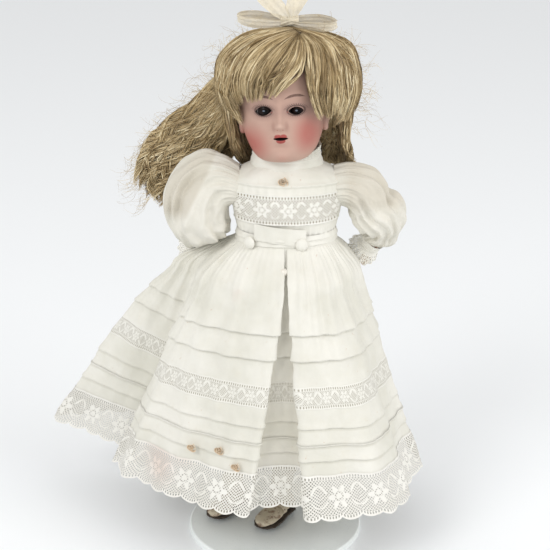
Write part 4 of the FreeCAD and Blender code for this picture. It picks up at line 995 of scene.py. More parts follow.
# Bodice
# The upper body has a plain yoke with a seam, then a band of lace insertion across the chest.
# Below it the cloth is lightly gathered into the belt. It closes at the back with small buttons.
bodice_low, bodice_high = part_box("belt")[0].z + 0.004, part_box("bodice")[1].z
bodice_form = [
    (0.00, 0.0372, 0.0282),
    (0.26, 0.0400, 0.0296),
    (0.50, 0.0432, 0.0303),
    (0.70, 0.0445, 0.0292),
    (0.82, 0.0430, 0.0262),
    (0.91, 0.0345, 0.0226),
    (0.97, 0.0262, 0.0205),
    (1.00, 0.0232, 0.0196),
]
yoke_seam, chest_band_middle, chest_band_half = 0.3060, 0.2870, 0.0118


def bodice_place(u, v):
    share = 1 - v
    half_width, half_depth = along(bodice_form, share)
    turn = tau * u
    level = bodice_low + (bodice_high - bodice_low) * share
    x, y = sin(turn), -cos(turn)
    lift = 0.0005
    lift += 0.0005 * sin(tau * 44 * u) * bell(level - bodice_low, 0.014)
    lift += 0.0004 * sin(tau * 38 * u + 1) * bell(level - yoke_seam + 0.004, 0.005)
    lift += 0.0009 * bell(level - yoke_seam, 0.0011)
    lift += 0.0006 * bell(level - chest_band_middle - chest_band_half, 0.0009)
    lift += 0.0006 * bell(level - chest_band_middle + chest_band_half, 0.0009)
    lift += 0.0011 * noise.noise((x * 2.2, y * 2.2, level * 70))
    lift += 0.0004 * noise.noise((x * 8, y * 8, level * 260))
    return Vector((doll_x + x * (half_width + lift), y * (half_depth + lift), level))


bodice_cloth, bodice_object, bodice_tone, bodice_weave = batiste("bodice_batiste")
chest_x = bodice_cloth.axis(bodice_object, "X")
chest_up = bodice_cloth.axis(bodice_object, "Z") - chest_band_middle
chest_band = bodice_cloth.band(chest_up, -chest_band_half, chest_band_half, 0.0002)
chest_band = chest_band * bodice_cloth.fall(bodice_cloth.axis(bodice_object, "Y"), -0.010, -0.008)
chest_thread = lace_threads(bodice_cloth, chest_x, chest_up, chest_band_half, 0.0200)
bodice_tone = bodice_cloth.mix(chest_band * chest_thread * 0.6, bodice_tone, (0.82, 0.805, 0.76))
# the holes of the chest lace are painted dark brown: the kid body behind them, in painted shade
bodice_tone = bodice_cloth.mix(chest_band * (1 - chest_thread) * 0.9, bodice_tone, (0.28, 0.24, 0.17))
seam_shade = bodice_cloth.band(
    bodice_cloth.axis(bodice_object, "Z"), yoke_seam - 0.0022, yoke_seam - 0.0008, 0.0005
)
bodice_tone = bodice_cloth.mix(seam_shade * 0.25, bodice_tone, (0.45, 0.43, 0.35))
bodice_cloth.set(
    Base_Color=bodice_tone,
    Normal=bodice_cloth.bump(bodice_weave * 0.3 + chest_thread * chest_band, 0.0003, 0.8),
)
bodice = add_piece("bodice_cloth", cloth_grid(260, 150, bodice_place), "doll", "gown", bodice_cloth)
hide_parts("bodice", "chest_lace")

# Collar
# A standing neck band, edged above with a narrow frill of lace.
# It closes at the back under the hair.
collar_low, collar_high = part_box("collar")
collar_rows = 26


def collar_place(u, v):
    turn = tau * u
    level = collar_low.z - 0.0035 + (collar_high.z - collar_low.z + 0.0040) * (1 - v)
    share = 1 - v
    frill = max(0.0, (share - 0.62) / 0.38)
    ripple = sin(tau * 46 * u)
    out = -0.0008 + 0.0014 * min(1.0, share * 3) + 0.0014 * frill * (1 + 0.8 * ripple)
    out += 0.0007 * bell(share - 0.6, 0.05)
    if share > 0.97:
        level += 0.0008 * abs(sin(tau * 23 * u))
    out += 0.0006 * noise.noise((sin(turn) * 3, cos(turn) * 3, level * 90))
    half_width, half_depth = 0.0236 + 0.0062 * (1 - share) ** 1.4, 0.0197 + 0.0030 * (1 - share) ** 1.4
    dip = -0.0050 * max(0.0, cos(turn)) * share
    return Vector((doll_x + sin(turn) * (half_width + out), -cos(turn) * (half_depth + out), level + dip))


collar_cotton, _, collar_tone, collar_weave = batiste("collar_batiste")
collar_uv = collar_cotton.uv()
collar_run = collar_cotton.axis(collar_uv, "X") * 0.138
collar_up = collar_cotton.axis(collar_uv, "Y")
collar_frill = collar_cotton.step(collar_up, 0.66, 0.70)
collar_net = collar_cotton.sine(collar_run * (tau / 0.0016)) * collar_cotton.sine(collar_up * 55.0)
# the holes of the lace frill are painted darker, as painted shade behind them
collar_tone = collar_cotton.mix(
    collar_frill * collar_cotton.step(collar_net, 0.1, 0.6) * 0.55, collar_tone, (0.47, 0.43, 0.35)
)
collar_cotton.set(
    Base_Color=collar_tone,
    Normal=collar_cotton.bump(collar_weave * 0.4 + collar_net * collar_frill, 0.0003, 0.6),
)
collar = add_piece("collar_band", cloth_grid(300, collar_rows, collar_place), "doll", "gown", collar_cotton)
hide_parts("collar")

# Belt
# A soft belt of the same cloth, laid in three flat pleats round the waist.
# A plain strip is tacked over its upper edge in front, and two covered buttons hold it.
belt_low, belt_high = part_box("belt")


def belt_place(u, v):
    turn = tau * u
    level = belt_high.z + 0.0006 - (belt_high.z - belt_low.z + 0.0012) * v
    pleat = (v * 3.0) % 1.0
    swag = 0.0016 * sin(2 * turn + 0.5) * sin(pi * v)
    out = 0.0004 + 0.0014 * pleat * (1 if v < 0.999 else 0)
    out += 0.0005 * noise.noise((sin(turn) * 6, cos(turn) * 6, v * 3))
    x, y = sin(turn) * (0.0386 + out), -cos(turn) * (0.0306 + out)
    return Vector((doll_x + x, y, level + swag * 0.3))


belt = add_piece("belt_pleats", cloth_grid(220, 36, belt_place), "doll", "gown", gown_cloth)
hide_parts("belt")

strip_low, strip_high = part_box("waist_strip")


def strip_place(u, v):
    x = strip_low.x + (strip_high.x - strip_low.x) * u
    level = strip_high.z - (strip_high.z - strip_low.z) * v
    across = (x - doll_x) / 0.0400
    bend = -0.0322 * sqrt(max(0.0, 1 - across * across))
    lift = 0.0003 * sin(u * 22) * v + 0.0005 * noise.noise((u * 3, v * 2, 5))
    ends = 0.0006 * (abs(2 * u - 1) ** 8)
    return Vector((x, bend - lift - ends, level + 0.0025 - 0.0040 * (u - 0.5)))


strip_piece = cloth_grid(60, 18, strip_place)
strip = add_piece("waist_strip_cloth", strip_piece, "doll", "gown", gown_cloth)
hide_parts("waist_strip")


def front_of(node, depth):
    """The middle of a node as seen from the front, at a depth behind its foremost point."""
    low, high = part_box(node)
    return Vector(((low.x + high.x) / 2, low.y + depth, (low.z + high.z) / 2))


def dome(name, centre, out, radius, height, body, slot, finish):
    """A button: a round with a domed face, set on a surface that faces out."""
    shape = bmesh.new()
    bmesh.ops.create_uvsphere(shape, u_segments=32, v_segments=20, radius=1.0)
    for vertex in shape.verts:
        vertex.co.x *= radius
        vertex.co.y *= radius
        vertex.co.z *= height if vertex.co.z > 0 else height * 0.25
    turn = Vector(out).to_track_quat("Z", "Y").to_matrix().to_4x4()
    shape.transform(Matrix.Translation(centre) @ turn)
    return add_piece(name, shape, body, slot, finish)


def solids_of(node):
    """The box of each separate solid in a node."""
    shape = shape_of(node)
    left, found = set(shape.verts), []
    while left:
        todo, part = [left.pop()], []
        while todo:
            vertex = todo.pop()
            part.append(vertex.co.copy())
            for edge in vertex.link_edges:
                other = edge.other_vert(vertex)
                if other in left:
                    left.remove(other)
                    todo.append(other)
        low = Vector([min(co[i] for co in part) for i in range(3)])
        high = Vector([max(co[i] for co in part) for i in range(3)])
        found.append((low, high))
    shape.free()
    return sorted(found, key=lambda pair: (round(pair[0].x, 4), pair[0].z))


pearl = Finish("pearl", Base_Color=(0.72, 0.68, 0.60), Roughness=0.18, Coat_Weight=0.6, Coat_Roughness=0.1)
button_kinds = (
    ("covered_buttons", "covered_button", gown_cloth, "gown"),
    ("back_buttons", "back_button", pearl, "pearl"),
)
for node, label, finish, slot in button_kinds:
    for k, (low, high) in enumerate(solids_of(node)):
        middle = (low + high) / 2
        out = Vector(((middle.x - doll_x) * 0.55, middle.y, 0)).normalized()
        radius = (high.z - low.z) / 2
        face = Vector((middle.x, low.y if middle.y < 0 else high.y, middle.z))
        seat = face - out * radius * 0.45
        button = dome(f"{label}_{k}", seat, out, radius, radius * 0.62, "doll", slot, finish)
        if k == 0:
            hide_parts(node)
bead_seat = front_of("pearl_button", 0.0022)
pearl_button = dome("pearl_bead", bead_seat, (0, -1, 0.1), 0.0034, 0.0030, "doll", "pearl", pearl)
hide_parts("pearl_button")

# Rosettes
# Small roses of folded pink beige ribbon, one on the yoke and three on the front of the skirt.
# Each is a strip wound in a spiral and gathered along its lower edge.
rose_ribbon = mottled(
    "rose_ribbon", 700.0, 3.0, (0.58, 0.42, 0.28), (0.84, 0.72, 0.54), Roughness=0.6, Sheen_Weight=0.2
)


def rosette(name, centre, out, radius):
    turns = 3.2

    def rosette_place(u, v):
        angle = tau * turns * u
        wave = 1 + 0.16 * sin(angle * 2.5)
        reach = radius * (0.12 + 0.80 * u) * wave * (0.80 + 0.28 * (1 - v))
        return Vector((reach * cos(angle), reach * sin(angle), radius * 0.62 * (1 - v) * (1.15 - 0.45 * u)))

    shape = cloth_grid(110, 4, rosette_place)
    bmesh.ops.solidify(shape, geom=shape.faces[:], thickness=0.00018)
    turn = Vector(out).to_track_quat("Z", "Y").to_matrix().to_4x4()
    shape.transform(Matrix.Translation(centre) @ turn)
    return add_piece(name, shape, "doll", "ribbon", rose_ribbon)


yoke_rose = rosette("yoke_rose", front_of("yoke_rosette", 0.0034), (0, -1, 0.15), 0.0042)
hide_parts("yoke_rosette")
for k, (low, high) in enumerate(solids_of("skirt_rosettes")):
    middle = (low + high) / 2
    out = Vector((-0.45, -1, 0.1)).normalized()
    skirt_rose = rosette(f"skirt_rose_{k}", middle - out * 0.0006, out, 0.0042)
    if k == 0:
        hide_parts("skirt_rosettes")

# Sleeves
# Full bishop sleeves, gathered into the armhole and again into a lace edged cuff at the wrist.
# The cloth stands up in a puff at the shoulder and hangs over the cuff.
# Middle of each ring as beside the doll's middle, behind and above the shoulder, then its two half widths
sleeve_paths = {
    "right": [
        (0.000, 0.0350, 0.000, 0.000, 0.0158, 0.0158, 5),
        (0.060, 0.0455, 0.000, 0.004, 0.0190, 0.0185, 8),
        (0.200, 0.0560, 0.001, 0.003, 0.0255, 0.0225, 24),
        (0.400, 0.0670, 0.002, -0.010, 0.0275, 0.0250, 50),
        (0.600, 0.0700, 0.003, -0.026, 0.0252, 0.0242, 74),
        (0.780, 0.0670, 0.006, -0.0395, 0.0215, 0.0205, 92),
        (0.900, 0.0690, 0.012, -0.0475, 0.0150, 0.0145, 102),
        (1.000, 0.0705, 0.0165, -0.0515, 0.0086, 0.0086, 108),
    ],
    "left": [
        (0.000, 0.0350, 0.000, -0.001, 0.0158, 0.0158, 5),
        (0.060, 0.0455, 0.000, 0.001, 0.0165, 0.0180, 10),
        (0.200, 0.0570, 0.001, -0.003, 0.0185, 0.0200, 26),
        (0.340, 0.0640, 0.002, -0.011, 0.0180, 0.0205, 44),
        (0.430, 0.0670, 0.002, -0.017, 0.0172, 0.0195, 50),
        (0.560, 0.0745, 0.003, -0.023, 0.0205, 0.0225, 50),
        (0.680, 0.0790, 0.006, -0.033, 0.0170, 0.0200, 68),
        (0.770, 0.0765, 0.009, -0.041, 0.0128, 0.0150, 88),
        (0.870, 0.0745, 0.012, -0.0465, 0.0140, 0.0140, 100),
        (0.950, 0.0715, 0.015, -0.0500, 0.0110, 0.0110, 105),
        (1.000, 0.0705, 0.0165, -0.0515, 0.0086, 0.0086, 108),
    ],
}
shoulder_height = sum(corner.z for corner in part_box("left_shoulder_rivet")) / 2


def past_crease(beside, height):
    """How far a place lies beyond the pressed crease that runs slantwise over the right sleeve."""
    return (beside + 0.046) * 0.896 - (height - 0.322) * 0.444


def sleeve_surface(side, hand, u, v):
    """A point of the sleeve: u round it, v from the armhole to the wrist."""
    beside, behind, above, over, across, lean = along(sleeve_paths[hand], v)
    lean = radians(lean)
    run = Vector((side * cos(lean), 0.25 * sin(lean), -sin(lean))).normalized()
    up = Vector((0, 1, 0)).cross(run).normalized() * side
    sideways = run.cross(up).normalized()
    turn = tau * u
    seed = 3.0 if side > 0 else 11.0
    swirl = noise.noise((cos(turn) * 1.4, sin(turn) * 1.4, v * 2.6 + seed))
    gathers = sin(tau * (34 * u + 0.5 * swirl))
    folds = sin(tau * (11 * u + 0.8 * swirl + 0.4 * v))
    at_top, at_cuff = bell(v, 0.14), bell(1 - v, 0.16)
    lift = 0.0005 * gathers * (at_top + at_cuff) * min(1.0, v * 18) + 0.0017 * folds * sin(pi * v) ** 0.6
    lift += 0.0034 * swirl * sin(pi * v)
    lift += 0.0013 * noise.noise((cos(turn) * 4.5, sin(turn) * 4.5, v * 9 + seed))
    lift *= min(1.0, (1.02 - v) * 14)
    centre = Vector((doll_x + side * beside, behind, shoulder_height + above))
    point = centre + up * ((over + lift) * cos(turn)) + sideways * ((across + lift) * sin(turn))
    if hand == "right" and point.y < behind:
        from_crease = past_crease(point.x, point.z)
        pressed = 0.0050 * bell(from_crease + 0.008, 0.007) - 0.0026 * bell(from_crease, 0.004)
        point.y += pressed * min(1.0, (behind - point.y) / 0.012) * sin(pi * v)
    return point


sleeve_cloth, sleeve_object, sleeve_tone, sleeve_weave = batiste("sleeve_batiste")
sleeve_crease = sleeve_cloth.noise(sleeve_object, 150.0, 3.0, 0.55, 1.2)
sleeve_beside, sleeve_height = sleeve_cloth.axis(sleeve_object, "X"), sleeve_cloth.axis(sleeve_object, "Z")
sleeve_fold = past_crease(sleeve_beside, sleeve_height)
# painted shade: the facet above the right sleeve's crease and the top of the left sleeve are darker, and the
# whole sleeve a little
painted_sleeve_shade = sleeve_cloth.fall(sleeve_fold, -0.003, 0.001)
painted_sleeve_shade = painted_sleeve_shade * sleeve_cloth.step(sleeve_height, 0.272, 0.284)
painted_sleeve_shade = painted_sleeve_shade * sleeve_cloth.fall(sleeve_cloth.axis(sleeve_object, "Y"), -0.004, 0.004)
painted_sleeve_shade = sleeve_cloth.most(
    painted_sleeve_shade, sleeve_cloth.step(sleeve_beside, 0.05, 0.06) * sleeve_cloth.step(sleeve_height, 0.277, 0.290)
)
sleeve_tone = sleeve_cloth.mix(painted_sleeve_shade * 0.45 + 0.18, sleeve_tone, (0.52, 0.47, 0.38))
sleeve_cloth.set(
    Base_Color=sleeve_tone, Normal=sleeve_cloth.bump(sleeve_weave * 0.12 + sleeve_crease, 0.0010, 0.45)
)
cuff_lace = Finish("cuff_lace", Roughness=0.9)
cuff_uv = cuff_lace.uv()
cuff_along, cuff_down = cuff_lace.axis(cuff_uv, "X"), cuff_lace.axis(cuff_uv, "Y")
cuff_net = cuff_lace.sine(cuff_along * (tau * 40)) * cuff_lace.sine(cuff_down * 24.0)
cuff_hole = cuff_lace.step(cuff_net, 0.15, 0.6) * cuff_lace.step(cuff_down, 0.45, 0.40)
# the holes of the cuff lace are painted darker and half opaque, as painted shade
cuff_lace.set(
    Base_Color=cuff_lace.mix(cuff_hole, (0.83, 0.81, 0.74), (0.50, 0.46, 0.38)),
    Alpha=cuff_lace.step(cuff_hole, 0.2, 0.9, 1.0, 0.45),
    Normal=cuff_lace.bump(cuff_net, 0.0003, 0.6),
)
for hand, side in (("right", -1), ("left", 1)):
    puff = add_piece(
        hand + "_puff_sleeve",
        cloth_grid(240, 130, lambda u, v: sleeve_surface(side, hand, u, v)),
        None,
        "gown",
        sleeve_cloth,
    )
    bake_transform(puff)
    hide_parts(hand + "_sleeve")
    last, before = along(sleeve_paths[hand], 1.0), along(sleeve_paths[hand], 0.94)
    wrist = Vector((doll_x + side * last[0], last[1], shoulder_height + last[2]))
    run = (wrist - Vector((doll_x + side * before[0], before[1], shoulder_height + before[2]))).normalized()
    up = Vector((0, 1, 0)).cross(run).normalized()
    sideways = run.cross(up).normalized()

    def cuff_place(u, v):
        turn = tau * u
        flare = max(0.0, v - 0.5) * 2
        ripple = sin(tau * 14 * u)
        radius = 0.0090 + 0.0042 * flare * (1 + 0.22 * ripple) - 0.0006 * bell(v - 0.5, 0.08)
        depth = 0.0215 * v + 0.0012 * abs(sin(tau * 10 * u)) * (v > 0.95)
        return wrist + run * (depth - 0.0034) + up * (radius * cos(turn)) + sideways * (radius * sin(turn))

    cuff = add_piece(hand + "_lace_cuff", cloth_grid(200, 20, cuff_place), hand + "_arm", "lace", cuff_lace)
    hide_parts(hand + "_cuff")

# Wig
# Ash blonde mohair, sewn to a cap and parted above the forehead, with a full fringe on each side.
# One long wavy fall is swept out to her right, and the rest hangs behind her shoulders.
# Fine hairs fly loose round it.
wig_middle = np.array((chin.x + 0.0022, 0.00525, chin.z))
wig_size = np.array((0.057, 0.048, head_height))
# Height above the chin, half width and half depth, each as a share of the wig's size
cap_form = np.array(
    [
        (0.14, 0.86, 0.80), (0.30, 0.96, 0.93), (0.52, 0.99, 0.99), (0.72, 0.95, 0.96),
        (0.86, 0.85, 0.88), (0.96, 0.70, 0.74), (1.05, 0.42, 0.48), (1.10, 0.02, 0.03),
    ]
)

mohair = Finish("mohair", Specular_IOR_Level=0.4)
hair_uv = mohair.uv()
hair_tone, hair_way = mohair.axis(hair_uv, "X"), mohair.axis(hair_uv, "Y")
hair_cloud = mohair.noise(mohair.place(), 75.0, 3.0)
hair_ramp = [
    (0.0, (0.050, 0.030, 0.015)), (0.30, (0.30, 0.210, 0.105)), (0.60, (0.58, 0.450, 0.250)),
    (1.0, (0.88, 0.780, 0.540)),
]
hair_colour = mohair.add(
    "ShaderNodeValToRGB", {"stops": hair_ramp}, {0: hair_tone * 0.80 + hair_cloud * 0.50 - 0.13}
)
# painted shade: each hair is darker near its root, where it lies under the others
mohair.set(
    Base_Color=mohair.mix(mohair.step(hair_way, 0.0, 0.12, 0.45, 0.0), hair_colour, (0.20, 0.14, 0.075)),
    Roughness=mohair.step(hair_tone, 0.0, 1.0, 0.62, 0.40),
)


def smooth_through(points, shares):
    """A smooth line through points (the last axis but one), at shares of the way along them."""
    last = points.shape[-2] - 1
    place = np.clip(shares * last, 0, last - 1e-6)
    k = place.astype(int)
    f = (place - k)[:, None]
    return spline(*(points[..., np.clip(k + shift, 0, last), :] for shift in (-1, 0, 1, 2)), f)


def unit(vectors):
    return vectors / np.maximum(np.linalg.norm(vectors, axis=-1, keepdims=True), 1e-9)


def hair_piece(name, lines, half_width, tones, rolls):
    """Each line becomes a flat hair that tapers to its tip. Its UVs are its tone and the way along it."""
    steps = lines.shape[1]
    way = np.linspace(0, 1, steps)
    taper = (1 - 0.9 * way**5) * (0.55 + 0.45 * np.minimum(1, way * 12))
    data = bpy.data.curves.new(name, "CURVE")
    data.dimensions = "3D"
    data.extrude = half_width
    for line, roll in zip(lines, rolls):
        hair = data.splines.new("POLY")
        hair.points.add(steps - 1)
        hair.points.foreach_set("co", np.column_stack([line, np.ones(steps)]).ravel())
        hair.points.foreach_set("radius", taper)
        hair.points.foreach_set("tilt", np.full(steps, roll))
    drawn = bpy.data.objects.new(name + "_lines", data)
    mesh = bpy.data.meshes.new_from_object(drawn)
    bpy.data.objects.remove(drawn)
    mesh.name = name
    corner = np.empty(len(mesh.loops), dtype=int)
    mesh.loops.foreach_get("vertex_index", corner)
    uv = mesh.uv_layers.active or mesh.uv_layers.new(name="hair")
    pairs = np.column_stack([np.repeat(tones, steps * 2), np.tile(np.repeat(way, 2), len(lines))])
    uv.data.foreach_set("uv", pairs[corner].ravel())
    shade_smooth(mesh)
    piece = linked(name, mesh)
    mesh.materials.clear()
    mesh.materials.append(mohair.material)
    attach(piece, "doll")
    return piece


def tress(
    name, guides, count, seed,
    thick=0.003, lift=0.001, wave=0.0006, turns=2.0, clumps=30, ragged=0.10, tone=0.52, core=None, steps=16,
):
    """Hair that fills the space between guide lines, in clumps that draw together towards their tips."""
    rng = np.random.default_rng(seed)
    guides = smooth_through(np.array(guides), np.linspace(0, 1, 241))
    lanes = rng.random(count)
    group = np.floor(lanes * clumps).astype(int)
    middle = (group + 0.5 + rng.uniform(-0.3, 0.3, clumps)[group]) / clumps
    way = np.linspace(0, 1, steps)
    reach = rng.uniform(1 - ragged, 1.0, count) * (1 - ragged * 0.8 * rng.random(clumps)[group])
    drawn = lanes[:, None] + (middle - lanes)[:, None] * (0.75 * way**1.3)[None, :]
    stray = np.where(rng.random(count) < 0.12, 0.045, 0.010)
    drawn += (rng.normal(0, 1, count) * stray)[:, None] * np.sin(np.pi * way * 1.2)[None, :]
    index = np.clip(np.outer(reach, way) * 240, 0, 240).astype(int)
    last = guides.shape[0] - 1
    place = np.clip(drawn * last, 0, last - 1e-6)
    k = place.astype(int)
    f = (place - k)[..., None]
    lines = spline(*(guides[np.clip(k + shift, 0, last), index] for shift in (-1, 0, 1, 2)), f)
    if core is None:
        core = wig_middle + np.array((0, 0, 0.5 * head_height))
    outward = unit(lines - np.array(core))
    sideways = unit(np.cross(unit(np.gradient(lines, axis=1)), outward))
    depth = -thick + (thick + lift) * rng.random(count) ** 0.7
    swell = np.minimum(1, 0.25 + way * 3) * (1 - 0.35 * way**4)
    phase = rng.random(clumps)[group] + rng.normal(0, 0.05, count)
    pace = turns * (1 + rng.normal(0, 0.12, clumps)[group])
    swing = np.sin(2 * np.pi * (pace[:, None] * way[None, :] + phase[:, None]))
    sway = np.cos(2 * np.pi * (pace[:, None] * way[None, :] * 0.9 + phase[:, None] * 1.7))
    grow = wave * np.minimum(1, way * 1.6)[None, :]
    frizz_turns = rng.uniform(1.5, 4, (count, 1)) * way + rng.random((count, 1))
    frizz = rng.normal(0, 0.00024, (count, 1)) * np.sin(2 * np.pi * frizz_turns)
    lines = lines + outward * (depth[:, None] * swell[None, :] + sway * grow * 0.7)[..., None]
    lines = lines + sideways * (swing * grow + frizz)[..., None]
    tones = np.clip(rng.normal(tone, 0.20, count) + rng.normal(0, 0.10, clumps)[group], 0, 1)
    # hairs deep in a tress get a darker tone, as painted shade under the outer hairs
    tones = np.where(depth < -0.6 * thick, tones * 0.6, tones)
    return hair_piece(name, lines, 0.00042, tones, rng.uniform(0, pi, count))


def cap_point(angle, height, scale=1.0):
    """A point of the cap; angle 0 looks forward and the height is a share."""
    wide = np.interp(height, cap_form[:, 0], cap_form[:, 1]) * scale
    deep = np.interp(height, cap_form[:, 0], cap_form[:, 2]) * scale
    return wig_middle + wig_size * np.array((wide * sin(angle), -deep * cos(angle), height))


def in_front_of_cap(beside, height):
    """A point of the cap's front, given as shares beside the middle and above the chin."""
    wide = np.interp(height, cap_form[:, 0], cap_form[:, 1])
    deep = np.interp(height, cap_form[:, 0], cap_form[:, 2])
    ahead = deep * sqrt(max(1 - (beside / wide) ** 2, 0.01))
    return wig_middle + wig_size * np.array((beside, -ahead, height))


# Fringe guides from the parting outwards, as (beside, above the chin) shares
right_fringe_guides = [
    [(0.15, 1.06), (0.21, 0.96), (0.17, 0.82), (0.03, 0.71), (-0.18, 0.58)],
    [(0.13, 1.07), (-0.05, 0.99), (-0.24, 0.86), (-0.38, 0.70), (-0.40, 0.53)],
    [(0.10, 1.08), (-0.26, 1.01), (-0.51, 0.87), (-0.62, 0.69), (-0.57, 0.49)],
    [(0.06, 1.09), (-0.42, 1.02), (-0.74, 0.87), (-0.84, 0.65), (-0.70, 0.42)],
    [(0.02, 1.10), (-0.52, 1.05), (-0.88, 0.88), (-0.97, 0.66), (-0.86, 0.38)],
]
left_fringe_guides = [
    [(0.15, 1.06), (0.22, 0.97), (0.25, 0.81), (0.27, 0.63), (0.38, 0.38)],
    [(0.18, 1.07), (0.36, 0.98), (0.41, 0.80), (0.41, 0.58), (0.50, 0.36)],
    [(0.21, 1.08), (0.53, 0.97), (0.64, 0.76), (0.64, 0.55), (0.60, 0.37)],
    [(0.23, 1.09), (0.69, 0.96), (0.82, 0.75), (0.83, 0.55), (0.72, 0.32)],
    [(0.26, 1.10), (0.78, 0.98), (0.94, 0.76), (0.96, 0.55), (0.80, 0.30)],
]
for name, guides, seed in (("right_fringe", right_fringe_guides, 3), ("left_fringe", left_fringe_guides, 4)):
    lines = [[in_front_of_cap(*place) for place in guide] for guide in guides]
    strands = tress(
        name, lines, 4600, seed, thick=0.005, lift=0.0014, wave=0.0009, turns=1.3, clumps=30, ragged=0.15
    )
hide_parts("wig_fringe")

crown_lines = []
for k in range(25):
    angle = radians(50 + 260 * k / 24)
    beside = sin(angle) ** 2
    lowest = 0.13 + 0.20 * beside
    line = []
    for share in (0.0, 0.04, 0.12, 0.27, 0.45, 0.66, 0.86, 1.0):
        height = 1.10 + (lowest - 1.10) * share
        tuck = 0.26 * beside * max(0.0, (share - 0.62) / 0.38)
        line.append(cap_point(angle + 0.06 * sin(9 * share + k), height, 1 - tuck))
    crown_lines.append(line)
crown_hair = tress(
    "crown_hair", crown_lines, 5000, 5, thick=0.005, lift=0.0012, wave=0.0014, turns=1.6, clumps=90
)
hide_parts("wig_crown")

# Hair behind the neck: height, half width, half depth, beside and behind, as shares
fall_form = [
    (0.62, 0.90, 0.93, 0.0, 0.0), (0.32, 0.86, 0.88, 0.0, 0.0), (0.12, 0.80, 0.78, 0.02, 0.02),
    (-0.02, 0.80, 0.68, 0.06, 0.10), (-0.14, 0.76, 0.50, 0.12, 0.26), (-0.27, 0.66, 0.36, 0.17, 0.42),
]
fall_lines = []
for k in range(17):
    angle = radians(80 + 200 * k / 16)
    line = []
    for height, wide, deep, beside, behind in fall_form:
        place = (wide * sin(angle) + beside, -deep * cos(angle) + behind, height)
        line.append(wig_middle + wig_size * np.array(place))
    fall_lines.append(line)
back_hair = tress("back_hair", fall_lines, 4800, 6, thick=0.007, wave=0.0020, turns=2.2, clumps=44, tone=0.42)
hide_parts("wig_back")

# Falls at her shoulders: (beside, above the chin) shares, with the share behind the middle at each point
left_fall_guides = [
    [(0.84, 0.50), (0.74, 0.24), (0.84, -0.02), (0.98, -0.26)],
    [(0.76, 0.44), (0.66, 0.18), (0.73, -0.04), (0.85, -0.28)],
    [(0.64, 0.38), (0.57, 0.14), (0.61, -0.05), (0.70, -0.25)],
    [(0.50, 0.32), (0.47, 0.11), (0.51, -0.06), (0.56, -0.21)],
]
left_fall_behind = (0.0, 0.30, 0.50, 0.58)
long_lock_guides = [
    [(-0.92, 0.70), (-1.26, 0.42), (-1.70, 0.15), (-1.95, -0.04), (-2.10, -0.25), (-2.16, -0.50)],
    [(-0.95, 0.54), (-1.26, 0.31), (-1.65, 0.09), (-1.91, -0.13), (-2.05, -0.33), (-2.10, -0.56)],
    [(-0.90, 0.42), (-1.17, 0.18), (-1.50, -0.02), (-1.77, -0.24), (-1.91, -0.43), (-1.98, -0.63)],
    [(-0.82, 0.34), (-1.03, 0.09), (-1.33, -0.12), (-1.60, -0.33), (-1.77, -0.51), (-1.84, -0.70)],
    [(-0.70, 0.28), (-0.86, 0.02), (-1.10, -0.19), (-1.36, -0.38), (-1.56, -0.56), (-1.70, -0.76)],
]
long_lock_behind = (0.10, 0.48, 0.76, 0.88, 0.93, 0.93)


def hanging(guides, behind):
    """Guide lines in metres, from places beside and above the chin and shares behind the middle."""
    return [
        [
            wig_middle + wig_size * np.array((beside, back, height))
            for (beside, height), back in zip(guide, behind)
        ]
        for guide in guides
    ]


behind_her = wig_middle + np.array((0, 1.2, 0))
tress(
    "left_fall", hanging(left_fall_guides, left_fall_behind), 3000, 8,
    thick=0.010, lift=0.002, wave=0.0026, turns=2.6, clumps=22, ragged=0.2, tone=0.46, core=behind_her,
)
right_fall_guides = [
    [(-0.88, 0.46), (-0.86, 0.20), (-1.02, -0.04), (-1.22, -0.22)],
    [(-0.78, 0.40), (-0.76, 0.16), (-0.88, -0.06), (-1.04, -0.25)],
    [(-0.66, 0.34), (-0.62, 0.12), (-0.70, -0.08), (-0.82, -0.24)],
]
# the fall at her right shoulder is given a dark tone, as painted shade under the long lock
tress(
    "right_fall", hanging(right_fall_guides, (0.15, 0.42, 0.62, 0.74)), 2400, 11,
    thick=0.010, lift=0.002, wave=0.0026, turns=2.4, clumps=20, ragged=0.25, tone=0.22, core=behind_her,
)
lock_lines = hanging(long_lock_guides, long_lock_behind)
long_lock = tress(
    "long_lock_front", lock_lines, 4300, 9,
    thick=0.008, lift=0.005, wave=0.0034, turns=3.6, clumps=24, ragged=0.2,
    tone=0.56, core=behind_her, steps=22,
)
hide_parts("wig_long_lock")
# a dark layer under the long lock, whose low tone is painted shade
under_lock = [[point + np.array((0.004, 0.006, -0.006)) for point in line] for line in lock_lines]
tress(
    "long_lock_back", under_lock, 3400, 10,
    thick=0.014, lift=-0.004, wave=0.0030, turns=3.1, clumps=24, ragged=0.2,
    tone=0.16, core=behind_her, steps=18,
)

# Loose hairs that stand off the wig and the long lock
rng = np.random.default_rng(12)
loose_count, loose_steps = 900, 18
way = np.linspace(0, 1, loose_steps)[None, :, None]
angles = rng.uniform(radians(60), radians(300), loose_count)
heights = rng.uniform(0.20, 1.05, loose_count)
roots = np.array([cap_point(angle, height, 0.96) for angle, height in zip(angles, heights)])
from_lock = rng.random(loose_count) < 0.45
dense_lock = smooth_through(np.array(lock_lines), np.linspace(0, 1, 60))
picked = dense_lock[rng.integers(0, 3, loose_count), rng.integers(2, 58, loose_count)]
roots = np.where(from_lock[:, None], picked, roots)
away = unit(roots - (wig_middle + np.array((0, 0, 0.3 * head_height))) + rng.normal(0, 0.014, roots.shape))
reach = rng.uniform(0.006, 0.026, loose_count)[:, None, None]
curl = unit(rng.normal(0, 1, (loose_count, 1, 3)))
other_curl = unit(np.cross(curl, away[:, None, :]))
turn = rng.uniform(0.5, 1.7, (loose_count, 1, 1)) * 2 * np.pi * way + rng.random((loose_count, 1, 1)) * 6
loose_lines = roots[:, None, :] + away[:, None, :] * reach * way
